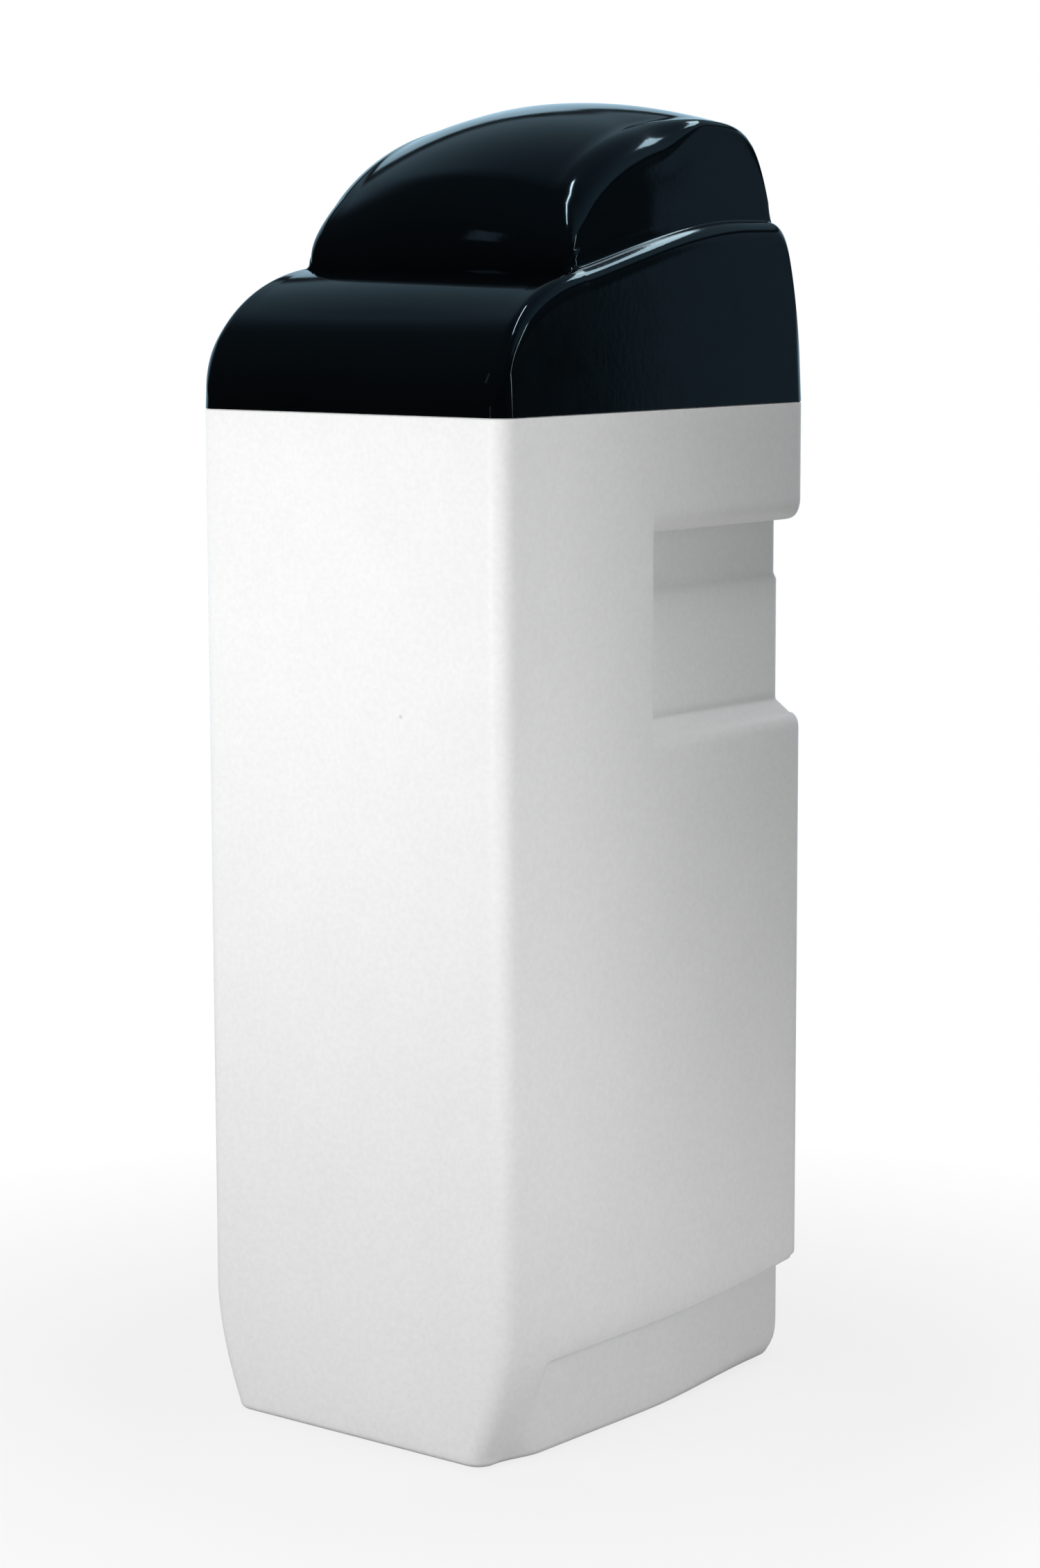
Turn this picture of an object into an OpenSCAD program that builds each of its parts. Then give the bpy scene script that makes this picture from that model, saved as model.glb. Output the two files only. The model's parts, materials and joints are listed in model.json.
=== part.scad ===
// Cabinet water softener: moulded salt cabinet, lift-off cover, resin vessel, piston valve and brine well.
// Millimetres. The origin is on the floor under the middle of the cabinet, the front faces -Y and +Z is up.

/* [Cabinet] */
// Width of the cabinet, left to right
cab_w = 330; // [322:1:360]
// Depth of the cabinet, front to rear
cab_d = 421; // [415:1:460]
// Height of the rim above the floor
cab_h = 860; // [800:1:900]
// Wall thickness of the cabinet
wall = 4; // [3:0.5:5]
// Thickness of the cabinet's floor
floor_t = 5; // [4:0.5:8]
// Radius of the upright corners
corner_r = 18; // [14:1:26]
// Radius of the narrower rear corners in the pockets and the recess
rear_r = 13; // [8:1:16]
// Height at which the sides start to draw in towards the base
taper_h = 105; // [96:1:108]
// How far each side draws in at the base
taper_in = 25; // [20:1:27]
// Radius along the bottom edges
bottom_r = 6; // [4:1:8]

/* [Grip pockets] */
// Length of the pocket, from its front wall to the cabinet's rear face
pocket_run = 219; // [205:1:230]
// Distance from the rim down to the pocket's ceiling
pocket_drop = 103; // [80:1:120]
// Height of the pocket's mouth
pocket_h = 170; // [140:1:190]
// Height of the deeper strip under the ceiling, where the fingers go
pocket_strip = 48; // [40:1:70]
// How much deeper that strip is
pocket_step = 3; // [1:0.5:3]
// Radius of the pocket's lower lip
lip_r = 12; // [8:1:14]
// Radius of the pocket's upper lip
upper_lip_r = 19; // [12:1:22]
// Rise of the sloping ledge under the pocket
ledge_rise = 11; // [6:1:14]

/* [Base recess] */
// Distance from the front face to the front end of the recess
recess_from_front = 62; // [54:1:80]
// Height of the recess at its front end
recess_h = 80; // [74:1:84]
// How much higher the recess is at the rear
recess_rise = 16; // [8:1:18]
// How far the recess's face lies outside the pocket's face at the rear
recess_out = 5; // [4:0.5:8]
// How far it comes out further at its front end
recess_flare = 7.5; // [4:0.5:9]

/* [Cover] */
// Wall thickness of the cover at its rim
cover_t = 4; // [3:0.5:5]
// Height of the brow line above the rim
brow_h = 115; // [108:1:122]
// Distance from the front face to the brow line
brow_run = 119; // [112:1:126]
// Height of the lower tier's rear shelf above the rim
shelf_h = 154; // [148:1:160]
// Width of the rounding on the lower tier's shoulders
shoulder_r = 13; // [8:1:14]
// Height of that rounding
shoulder_drop = 19; // [12:1:24]
// How far the hood stands in from the cabinet's side
hood_in = 21; // [19:1:24]
// Distance from the front face to the hood's front crease
hood_from_front = 114; // [110:1:120]
// Distance from the front face to the hood's highest line
hood_apex = 317; // [312:1:328]
// Height of the hood's side edge above the rim
hood_h = 241; // [236:1:256]
// How much the middle of the hood rises above its side edges
crown = 17; // [10:1:20]
// How far the hood's front bows forward in the middle
bow = 15; // [8:1:20]
// Radius of the hood's side edges
hood_r = 34; // [26:1:38]
// Radius of those edges behind the highest line
hood_rear_r = 8; // [6:1:14]
// Length over which the radius fades, up to the highest line
hood_fade = 76; // [50:1:90]
// Height of the cove where the hood meets the shelf
cove_h = 12; // [6:1:14]
// Height of that cove at the rear
cove_rear = 3; // [2:1:6]
// Depth of the locating skirt inside the rim
skirt_h = 14; // [10:1:18]
// Thickness of the skirt
skirt_t = 3; // [2:0.5:4]
// Clearance between the skirt and the cabinet's wall
skirt_clear = 0.6; // [0.4:0.1:1]
// Half width of the pipe notch at the rear
notch_w = 105; // [104:1:115]
// Height of the pipe notch above the rim
notch_h = 120; // [118:1:126]

/* [Resin vessel] */
// Outer diameter of the vessel
vessel_d = 257; // [250:1:260]
// Wall thickness of the vessel
vessel_t = 4; // [3:0.5:5]
// Clearance between the vessel and the pocket's inner wall
vessel_clear = 5; // [4.5:0.5:7]
// Clearance between the vessel and the rear wall
rear_clear = 5.5; // [5:0.5:8]
// Height of the vessel's mouth above the cabinet's rim
neck_rise = 35; // [25:1:38]
// Depth of the vessel's bottom end
bottom_bulge = 55; // [45:1:60]
// Height of the vessel's shoulder
shoulder_bulge = 65; // [55:1:75]
// Bore radius of the vessel's neck
neck_r = 36; // [35:0.5:37]
// Wall of the vessel's neck
neck_t = 8; // [6:0.5:9]
// Thickness of the foot under the vessel
foot_t = 6; // [4:0.5:8]
// Height of the foot
foot_h = 55; // [40:1:58]
// Height of the resin above the floor
resin_level = 560; // [400:1:640]
// Outer radius of the riser tube
riser_r = 13.35; // [12:0.05:14]
// Wall of the riser tube
riser_t = 2.3; // [1.5:0.1:3]
// Outer radius of the distributor baskets
basket_r = 25; // [22:0.5:27]

/* [Valve] */
// Height of the piston's axis above the vessel's mouth
axis_z = 62; // [60:1:66]
// Outer radius of the piston housing
housing_r = 36; // [34:0.5:37]
// Bore radius of the piston housing
bore_r = 30; // [28:0.5:31]
// Radius of the piston's lands
piston_r = 16; // [14:0.5:17]
// Stroke of the piston
stroke = 24; // [18:1:26]
// Length of one seal in the stack
seal_l = 4; // [3:0.5:4]
// Length of one spacer in the stack
spacer_l = 12; // [10:0.5:12]
// Distance of each water port from the middle
port_x = 42; // [40:1:46]
// Height of the water ports above the vessel's mouth
port_z = 46; // [42:1:48]
// Outer radius of the water ports
port_r = 20; // [18:0.5:21]
// Bore radius of the water ports
port_bore = 13; // [12:0.5:14]
// Radius of the pipe tails, three-quarter inch pipe thread
tail_r = 13.22; // [10:0.01:17]
// Radius of the hose barbs
barb_r = 6.5; // [5:0.1:8]
// Length of the bypass levers
lever_l = 34; // [28:1:36]

/* [Control head] */
// Half width of the control head
head_w = 66; // [64:1:72]
// Height of the control head
head_h = 127; // [124:1:132]
// Wall of the control cover
head_t = 3; // [2:0.5:3.5]
// Thickness of the drive bracket
bracket_t = 3; // [2:0.5:3]
// Gear module
gear_m = 1; // [0.9:0.05:1.05]
// Teeth on the drive gear
drive_teeth = 60; // [56:1:62]
// Teeth on the reduction gear's wheel
wheel_teeth = 45; // [40:1:46]
// Teeth on the pinions
pinion_teeth = 15; // [14:1:16]
// Radius of the buttons
button_r = 6.5; // [5:0.5:7]
// Travel of the buttons
button_travel = 1.3; // [1:0.1:1.5]
// Spacing of the buttons
button_pitch = 24; // [20:1:26]

/* [Brine well] */
// Outer radius of the brine well
well_r = 45; // [40:1:46]
// Wall of the brine well
well_t = 2.4; // [2:0.2:3]
// Height of the brine well
well_h = 800; // [700:1:820]
// Gap between the brine well and the round edge of the cabinet's floor
well_gap = 1; // [0.5:0.5:4]
// Height of the salt grid above the floor
grid_z = 110; // [106:1:130]
// Thickness of the salt grid
grid_t = 4; // [3:0.5:5]
// Radius of the float
float_r = 18; // [14:0.5:19]
// Rise of the float
float_rise = 12; // [8:1:16]
// Outer radius of the brine line
line_r = 4.75; // [4:0.05:5]
// Height of the overflow above the floor
overflow_z = 643; // [630:1:670]

/* [Clearances] */
// Running fit between a shaft and its hole, on the radius
run_fit = 0.06; // [0.02:0.01:0.1]
// Gap between fixed pieces that slip together
slip = 0.3; // [0.2:0.05:0.5]

/* [Hidden] */
$fn = 64;
eps = 1;

// Colours
white_pe = [0.93, 0.93, 0.92];
gloss_black = [0.03, 0.04, 0.05];
black_plastic = [0.12, 0.12, 0.13];
grey_plastic = [0.45, 0.47, 0.5];
natural_plastic = [0.85, 0.85, 0.8];
vessel_blue = [0.35, 0.5, 0.62];
resin_amber = [0.6, 0.35, 0.1];
rubber_black = [0.06, 0.06, 0.06];
red_plastic = [0.7, 0.08, 0.06];
steel = [0.7, 0.71, 0.73];
board_green = [0.1, 0.35, 0.16];
clear_plastic = [0.75, 0.85, 0.88, 0.5];

// Places on the cabinet
half_w = cab_w / 2;
half_d = cab_d / 2;
vessel_r = vessel_d / 2;
pocket_x = vessel_r + vessel_clear + wall;
recess_x = pocket_x + recess_out;
recess_front_x = recess_x + recess_flare;
pocket_y = half_d - pocket_run;
pocket_z = cab_h - pocket_drop;
recess_y = recess_from_front - half_d;
recess_turn = 0;
taper_mid = 0.57 * taper_h;
taper_pull = 2;
floor_round = 12;
bevel_run = 3;
near_trim = 1;
rear_trim = 5;

// Places of the vessel and the valve on it
vessel_y = half_d - wall - rear_clear - vessel_r;
vessel_z = floor_t + foot_t;
vessel_top = cab_h + neck_rise;
tail_end = half_d - vessel_y;

// Lengths along the valve, from the vessel's axis, rear positive
stack_front = -44;
stack_l = 6 * seal_l + 5 * spacer_l;
housing_front = stack_front - 11;
housing_rear = stack_front + stack_l + 12;
flange_t = 6;
bracket_y = housing_front - bracket_t;
gear_gap = 2;
gear_t = 10;
gear_y = bracket_y - gear_gap - gear_t;
wheel_t = 8;
wheel_y = gear_y - 4 - wheel_t;
rod_r = 5;
rod_front = gear_y - 22;
board_y = rod_front - 12;
board_t = 1.6;
standoff_l = 13;
head_front = board_y - standoff_l - head_t;
piston_rear = 12;
piston_l = 52;
port_end = 78;
bypass_l = 38;
nut_l = 9;
boss_r = 13;
boss_x = port_x + port_r + 4;
boss_bore = 8;
boss_depth = 12;
brine_boss_y = -26;
injector_y = 3;
drain_boss_y = 32;

// Gear places, seen from the front
drive_r = drive_teeth * gear_m / 2;
wheel_r = wheel_teeth * gear_m / 2;
pinion_r = pinion_teeth * gear_m / 2;
addendum = 0.8;
dedendum = 1.1;
flank_slack = 0.1;
pressure_angle = 20;
wheel_angle = 20;
motor_angle = 75;
wheel_c = (drive_r + pinion_r) * [cos(wheel_angle), sin(wheel_angle)];
motor_c = wheel_c + (wheel_r + pinion_r) * [cos(motor_angle), sin(motor_angle)];
axle_r = 3;
motor_r = 17;
motor_l = 28;
shaft_r = 2;

// Places in the brine well
floor_edge = wall + floor_round;
well_x = taper_in + floor_edge + well_gap + well_r - half_w;
well_y = floor_edge + well_gap + well_r - half_d;
well_top = floor_t + well_h;
valve_block = [44, 20, 30];
block_drop = 65;
block_z = well_top - block_drop;
arm_r = 6;
arm_l = 59;
arm_z = block_z + valve_block[2] / 2;
socket_r = 8;
socket_l = 20;
float_x = -12;
pickup_x = 14;
pickup_r = 5.5;
check_r = 15;
check_z = floor_t + 7;
check_h = 48;
float_z = 420;
float_h = 80;
grommet_h = 6;

// Round stretch of an outline, as points
function arc_pts(c, r, a0, a1, n) =
  [for (i = [0:n]) c + r * [cos(a0 + (a1 - a0) * i / n), sin(a0 + (a1 - a0) * i / n)]];

// Point on a curve with three or four control points
function bez2(p, t) = (1 - t) * (1 - t) * p[0] + 2 * t * (1 - t) * p[1] + t * t * p[2];
function bez3(p, t) =
  pow(1 - t, 3) * p[0] + 3 * t * pow(1 - t, 2) * p[1] + 3 * t * t * (1 - t) * p[2] + pow(t, 3) * p[3];

// Closed outline from its right-hand half
function both_sides(pts) = concat(pts, [for (i = [len(pts) - 1:-1:0]) [-pts[i][0], pts[i][1]]]);

// Cylinders along Y and along X, from one end to the other
module ycyl(r, y0, y1, x = 0, z = 0) {
  translate([x, y1, z]) rotate([90, 0, 0]) cylinder(r = r, h = y1 - y0);
}
module xcyl(r, x0, x1, y = 0, z = 0) {
  translate([x0, y, z]) rotate([0, 90, 0]) cylinder(r = r, h = x1 - x0);
}
module zcyl(r, z0, z1, x = 0, y = 0) {
  translate([x, y, z0]) cylinder(r = r, h = z1 - z0);
}
module box(x0, x1, y0, y1, z0, z1) {
  translate([x0, y0, z0]) cube([x1 - x0, y1 - y0, z1 - z0]);
}
module ring(r_out, r_in, z0, z1) {
  difference() {
    zcyl(r_out, z0, z1);
    zcyl(r_in, z0 - eps, z1 + eps);
  }
}
module yring(r_out, r_in, y0, y1) {
  difference() {
    ycyl(r_out, y0, y1);
    ycyl(r_in, y0 - eps, y1 + eps);
  }
}
// Outline in X and Z, drawn out along Y
module along_y(y0, y1) {
  translate([0, y1, 0]) rotate([90, 0, 0]) linear_extrude(y1 - y0) children();
}
module along_x(x0, x1) {
  translate([x0, 0, 0]) rotate([90, 0, 90]) linear_extrude(x1 - x0) children();
}
module both() {
  children();
  mirror([1, 0, 0]) children();
}
module at_vessel() {
  translate([0, vessel_y, 0]) children();
}
module at_valve() {
  translate([0, vessel_y, vessel_top]) children();
}
module at_well() {
  translate([well_x, well_y, 0]) children();
}

// Cabinet

module plan(inset) {
  r = corner_r - inset;
  w = half_w - inset;
  d = half_d - inset;
  square([2 * (w - r), 2 * d], center = true);
  square([2 * w, 2 * (d - r)], center = true);
  for (x = [-1, 1], y = [-1, 1]) translate([x * (w - r), y * (d - r)]) circle(r);
}
// Levels of the tub from the bottom up: half width, half depth, corner radius, height, edge inset
function tub_levels(inset, low, top) =
  let (w = half_w - inset, d = half_d - inset, foot = w - taper_in, c = corner_r - inset)
  let (r = inset > 0 ? floor_round : bottom_r)
  concat([for (i = [0:4]) let (in = r * (1 - sin(22.5 * i)))
      [foot - in, d - in, max(2, c - in), low + r * (1 - cos(22.5 * i)), in]],
    [for (i = [1:7]) let (p = bez2([[foot, low + r], [w - taper_pull, taper_mid], [w, taper_h]], i / 7))
      [p[0], d, c, p[1], 0]],
    [[w, d, c, top, 0]]);
// Half width of a level behind the front corners, where the recess's face stands out from the taper
function tub_side(l, face) = max(l[0] + l[4], face) - l[4];
// One corner of a level, counter-clockwise from above
function tub_corner(l, w, q) =
  let (sx = q == 0 || q == 3 ? 1 : -1, sy = q < 2 ? 1 : -1)
  [for (i = [0:8]) let (a = 90 * q + 90 * i / 8)
    [sx * (w - l[2]) + l[2] * cos(a), sy * (l[1] - l[2]) + l[2] * sin(a), l[3]]];
// One level's points, counter-clockwise from above
function tub_ring(l, inset) =
  let (rear = tub_side(l, recess_x + rear_trim - inset))
  let (near = tub_side(l, recess_front_x + near_trim - inset))
  concat(tub_corner(l, rear, 0), tub_corner(l, rear, 1),
    [[-near, recess_turn, l[3]], [-near, recess_y, l[3]]],
    tub_corner(l, l[0], 2), tub_corner(l, l[0], 3),
    [[near, recess_y, l[3]], [near, recess_turn, l[3]]]);
module tub_solid(inset, low, top) {
  levels = tub_levels(inset, low, top);
  rings = [for (l = levels) tub_ring(l, inset)];
  n = len(rings[0]);
  last = (len(levels) - 1) * n;
  middle = len(levels) * n;
  pts = concat([for (r = rings) each r], [[0, 0, levels[0][3]], [0, 0, top]]);
  sides = [for (i = [0:len(levels) - 2]) for (k = [0:n - 1])
    let (a = i * n + k, b = i * n + (k + 1) % n) each [[a, b + n, b], [a, a + n, b + n]]];
  caps = [for (k = [0:n - 1]) let (q = (k + 1) % n)
    each [[middle, k, q], [middle + 1, last + q, last + k]]];
  polyhedron(pts, concat(sides, caps));
}
// The pocket's outline, seen from the front; grow thickens it for the wall behind it
module pocket_outline(grow) {
  face = pocket_x - grow;
  lip = half_w - lip_r;
  upper = half_w - upper_lip_r;
  top = pocket_z + upper_lip_r;
  low = pocket_z - pocket_h - lip_r;
  crease = pocket_z - pocket_strip;
  polygon(concat([[half_w + 2 * eps, top]], arc_pts([upper, top], upper_lip_r - grow, 0, -90, 5),
    [[face - pocket_step, pocket_z + grow], [face - pocket_step, crease],
    [face, crease - bevel_run * pocket_step], [face, pocket_z - pocket_h + ledge_rise - grow]],
    arc_pts([lip, low], lip_r - grow, 90, 0, 5), [[half_w + 2 * eps, low]]));
}
// What a round rear corner takes off where the cabinet is narrower
module rear_corner(grow, face, z0, z1) {
  r = rear_r - grow;
  translate([face - grow - r, half_d - grow - r, z0 - grow]) linear_extrude(z1 - z0 + 2 * grow) difference() {
    square(r + eps);
    circle(r);
  }
}
module pocket(grow) {
  along_y(pocket_y - grow, half_d + eps) pocket_outline(grow);
  rear_corner(grow, pocket_x, pocket_z - pocket_h + ledge_rise, pocket_z);
}
// The base recess's outline, seen from the right
module recess_outline(grow) {
  front = recess_y - grow;
  rear = half_d + 2 * eps;
  r = 16 + grow;
  polygon(concat([[rear, -eps], [front, -eps]], arc_pts([front + r, recess_h + grow - r], r, 180, 90, 5),
    [for (i = [1:6]) [front + r + (rear - front - r) * i / 6, recess_h + grow + recess_rise * i * i / 36]]));
}
// The recess's plan: its face runs straight, then turns in towards the rear
module recess_plan(grow) {
  outer = half_w + 2 * eps;
  rear = half_d + 2 * eps;
  polygon([[recess_front_x - grow, recess_y - grow], [outer, recess_y - grow], [outer, rear],
    [recess_x - grow, rear], [recess_x - grow, half_d - rear_r], [recess_front_x - grow, recess_turn]]);
}
module recess(grow) {
  intersection() {
    along_x(recess_x - grow, half_w + 2 * eps) recess_outline(grow);
    translate([0, 0, -eps]) linear_extrude(taper_h + recess_rise) recess_plan(grow);
  }
  rear_corner(grow, recess_x, 0, recess_h + recess_rise);
}
module cabinet() {
  color(white_pe) difference() {
    tub_solid(0, 0, cab_h);
    both() {
      pocket(0);
      recess(0);
    }
    difference() {
      tub_solid(wall, floor_t, cab_h + eps);
      both() {
        pocket(wall);
        recess(wall);
      }
    }
    translate([0, overflow_y, overflow_z]) xcyl(overflow_r + slip, -half_w, -vessel_r + 20);
  }
}

// Cover: sections across the cabinet, one after another from the front to the rear

function between(p, y, lo, hi, n) =
  n == 0 ? (lo + hi) / 2
  : bez3(p, (lo + hi) / 2)[0] < y ? between(p, y, (lo + hi) / 2, hi, n - 1)
  : between(p, y, lo, (lo + hi) / 2, n - 1);
function height_on(p, y) = bez3(p, between(p, y, 0, 1, 24))[1];

brow = [[0, 0], [0, 0.46 * brow_h], [0.3 * brow_run, 0.9 * brow_h], [brow_run, brow_h]];
shelf_run = 344;
shelf_lead = [60, 12];
shelf_ease = 80;
shelf = [[brow_run, brow_h], [brow_run + shelf_lead[0], brow_h + shelf_lead[1]],
  [shelf_run - shelf_ease, shelf_h], [shelf_run, shelf_h]];
side_draft = 0.05;
rear_draft = 0.15;
hood_draft = 0.12;
hood_power = 2;
hood_base = brow_h + 1;
hood_corner = 8;
cove_start = hood_from_front + 80;
cove_fade = 130;
bow_peak = hood_from_front + 30;
bow_reach = 110;

// Two heights blended where they cross, so that the lower one wins
function blend_low(a, b, k) = min(a, b) <= 0 ? 0 : pow(pow(a, -k) + pow(b, -k), -1 / k);

// Height of the lower tier and of the hood above the rim, at a distance from the front face
function lower_top(u) = u <= 0 ? 0 : u <= brow_run ? height_on(brow, u)
  : u <= shelf_run ? height_on(shelf, u) : shelf_h;
function lower_h(u) = blend_low(lower_top(u), (cab_d - u) / rear_draft, 8);
function hood_front_h(u) =
  let (v = max(0, (hood_apex - u) / (hood_apex - hood_from_front)))
  v >= 1 ? 0 : (hood_h - hood_base) * pow(1 - pow(v, hood_power), 1 / hood_power);
function hood_rise(u) =
  let (rear = (cab_d - rear_draft * hood_base - 4 - u) / hood_draft, front = hood_front_h(u))
  front <= 0 || rear <= 0 ? 0 : max(0, hood_base + blend_low(front, rear, 2) - lower_h(u));

// Radius of the hood's side edge and height of the cove at its foot, both within the hood's rise
function ease(k) = let (c = min(1, max(0, k))) c * c * (3 - 2 * c);
function edge_r(u, rise) =
  min(hood_r + (hood_rear_r - hood_r) * ease((u - hood_apex + hood_fade) / hood_fade), 0.6 * rise);
function cove(u, rise) = min(cove_h + (cove_rear - cove_h) * ease((u - cove_start) / cove_fade), 0.3 * rise);

// Half width lost to a round corner, at a distance from its end
function corner_loss(e, r) = e >= r ? 0 : r - sqrt(max(0, r * r - (r - e) * (r - e)));

// Sections: distances from the front face
front_steps = [for (i = [0:8]) bez3(brow, i / 9)[0]];
hood_steps = [for (i = [1:9])
  hood_apex - (hood_apex - hood_from_front) * pow(cos(10 * i - 9), 2 / hood_power)];
apron_steps = [for (i = [0:1]) hood_from_front - 9 + 8 * i];
crown_steps = [for (i = [0:2]) hood_apex + 4 + 18 * i];
rear_end = cab_d - rear_draft * hood_base - 4;
rear_steps = [for (i = [0:5]) rear_end - 20 + 4 * i - i * i * 0.08];
tail_steps = [for (i = [0:4]) rear_end + (cab_d - rear_end) * i / 4];
sections = concat(front_steps, apron_steps, hood_steps, crown_steps, rear_steps, tail_steps);

// Right half of one section, from the rim to the middle, as [x, forward shift, height]
function half_section(u) =
  let (
    w = half_w - corner_loss(min(u, cab_d - u), corner_r),
    low = lower_h(u),
    rise = hood_rise(u),
    sr = min(shoulder_drop, low / 2),
    wall_top = w - max(1, side_draft * (low - sr)),
    ledge = wall_top - shoulder_r,
    base = min(half_w - hood_in - corner_loss(max(0, u - hood_from_front), hood_corner), ledge - 2),
    foot = cove(u, rise),
    hr = edge_r(u, rise),
    round_w = max(hr, hood_rear_r),
    lean = max(2, hood_draft * (rise - hr)),
    edge = base - lean - round_w,
    lift = crown * min(1, rise / (hood_h - shelf_h)),
    push = bow * max(0, 1 - abs(u - bow_peak) / bow_reach)
  )
  concat([[w, 0, 0], [(w + wall_top) / 2, 0, (low - sr) / 2]],
    [for (i = [0:4]) [wall_top - shoulder_r * (1 - cos(22.5 * i)), 0, low - sr * (1 - sin(22.5 * i))]],
    [for (i = [1:2]) [ledge - (ledge - base) * sin(45 * i), 0, low + foot * (1 - cos(45 * i))]],
    [[base - lean / 2, 0, low + (foot + rise - hr) / 2]],
    [for (i = [0:4]) let (x = edge + round_w * cos(22.5 * i))
      [x, push * (1 - pow(x / base, 2)), low + rise - hr * (1 - sin(22.5 * i))]],
    [for (i = [1:4]) let (x = edge * (1 - i / 4))
      [x, push * (1 - pow(x / base, 2)), low + rise + lift * (1 - pow(x / edge, 2))]]);
function full_section(u) =
  let (h = half_section(u), n = len(h))
  concat(h, [for (i = [n - 2:-1:0]) [-h[i][0], h[i][1], h[i][2]]]);

// Outer skin, and the inner skin drawn in towards the middle of the rim
function skin(inset) =
  let (sx = 1 - inset / half_w, sy = 1 - inset / half_d, sz = 1 - inset / (hood_h + crown))
  [for (u = sections) for (p = full_section(u)) [p[0] * sx, (u - half_d - p[1]) * sy, cab_h + p[2] * sz]];
section_n = len(full_section(0));
section_count = len(sections);
function grid_faces(n, m, start, flip) =
  [for (i = [0:m - 2]) for (j = [0:n - 2])
    let (a = start + i * n + j, b = a + 1, c = b + n, d = a + n)
    each flip ? [[a, b, c], [a, c, d]] : [[a, c, b], [a, d, c]]];
// Points round the rim, in order
function rim_loop(n, m) =
  concat([for (j = [0:n - 1]) j], [for (i = [1:m - 1]) i * n + n - 1],
    [for (j = [n - 2:-1:0]) (m - 1) * n + j], [for (i = [m - 2:-1:1]) i * n]);
function rim_faces(loop, other) =
  [for (i = [0:len(loop) - 1])
    let (a = loop[i], b = loop[(i + 1) % len(loop)])
    each [[a, b + other, b], [a, a + other, b + other]]];
module cover_shell() {
  count = section_n * section_count;
  polyhedron(concat(skin(0), skin(cover_t)),
    concat(grid_faces(section_n, section_count, 0, true), grid_faces(section_n, section_count, count, false),
      rim_faces(rim_loop(section_n, section_count), count)));
}
module skirt_ring(inset, width, z0, z1) {
  translate([0, 0, z0]) linear_extrude(z1 - z0) difference() {
    plan(inset);
    plan(inset + width);
  }
}
module notch() {
  r = 15;
  along_y(half_d - 60, half_d + eps) {
    polygon(both_sides(concat([[notch_w, cab_h - skirt_h - eps]],
      arc_pts([notch_w - r, cab_h + notch_h - r], r, 0, 90, 6))));
  }
}
module cover() {
  inner = wall + skirt_clear;
  color(gloss_black) difference() {
    union() {
      cover_shell();
      skirt_ring(cover_t / 2, inner + skirt_t - cover_t / 2, cab_h, cab_h + cover_t);
      skirt_ring(inner, skirt_t, cab_h - skirt_h, cab_h + cover_t / 2);
    }
    notch();
  }
}

// Salt grid and brine well

module salt_grid() {
  pitch = 22;
  hole_r = 4;
  leg_r = 6;
  edge = wall + 2;
  rear = pocket_y;
  leg_x = half_w - taper_in - floor_edge - leg_r - 1;
  legs = [[leg_x, -half_d + 40], [leg_x, rear - 60], [-leg_x, rear - 60], [0, -half_d + 40],
    [0, vessel_y - vessel_r - 30]];
  color(grey_plastic) {
    difference() {
      translate([0, 0, grid_z]) linear_extrude(grid_t) difference() {
        intersection() {
          plan(edge);
          translate([-half_w, -half_d]) square([cab_w, half_d + rear]);
        }
        translate([0, vessel_y]) circle(vessel_r + 6);
        translate([well_x, well_y]) circle(well_r + slip);
        for (i = [-6:6], j = [0:6]) {
          p = [i * pitch, -half_d + 30 + j * pitch];
          near_vessel = norm(p - [0, vessel_y]) < vessel_r + 6 + 2 * hole_r;
          near_well = norm(p - [well_x, well_y]) < well_r + 2 * hole_r;
          if (!near_vessel && !near_well) translate(p) circle(hole_r, $fn = 24);
        }
      }
    }
    for (p = legs) zcyl(leg_r, floor_t, grid_z, p[0], p[1]);
  }
}
module brine_well() {
  slot_w = 12;
  slot_h = 30;
  color(natural_plastic) at_well() difference() {
    ring(well_r, well_r - well_t, floor_t, well_top);
    for (a = [45, 135]) rotate(a)
      box(-well_r - eps, well_r + eps, -slot_w / 2, slot_w / 2, floor_t + 8, floor_t + 8 + slot_h);
    ycyl(arm_r + slip, 0, well_r + eps, 0, arm_z);
  }
}
module brine_well_cap() {
  skirt = 15;
  cap_t = 2.5;
  disc_t = 5;
  knob_r = 14;
  knob_h = 10;
  color(black_plastic) at_well() {
    difference() {
      zcyl(well_r + slip + cap_t, well_top - skirt, well_top + disc_t);
      zcyl(well_r + slip, well_top - skirt - eps, well_top + slip);
    }
    zcyl(knob_r, well_top + disc_t, well_top + disc_t + knob_h);
  }
}
module safety_valve() {
  s = valve_block;
  color(grey_plastic) at_well() difference() {
    box(-s[0] / 2, s[0] / 2, -s[1] / 2, s[1] / 2, block_z, block_z + s[2]);
    zcyl(2 + run_fit, block_z - eps, block_z + s[2] + eps, float_x);
    zcyl(pickup_r - 1.5, block_z - eps, arm_z, pickup_x);
  }
}
module pickup_tube() {
  color(natural_plastic) at_well() translate([pickup_x, 0, 0])
    ring(pickup_r, pickup_r - 1.5, check_z + check_h, block_z);
}
module air_check() {
  color(grey_plastic) at_well() translate([pickup_x, 0, 0]) {
    difference() {
      zcyl(check_r, floor_t, check_z + check_h);
      zcyl(check_r - 4, check_z + 8, check_z + check_h - 6);
      zcyl(pickup_r - 1.5, check_z + check_h - 7, check_z + check_h + eps);
      zcyl(5, floor_t + 2, check_z + 9);
      ycyl(4, -check_r - eps, check_r + eps, 0, floor_t + 7);
    }
  }
}
module check_ball() {
  ball_r = 8;
  seat = sqrt(ball_r * ball_r - 25);
  color([0.9, 0.9, 0.85]) at_well() translate([pickup_x, 0, check_z + 8 + seat + 0.1]) sphere(ball_r);
}
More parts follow.
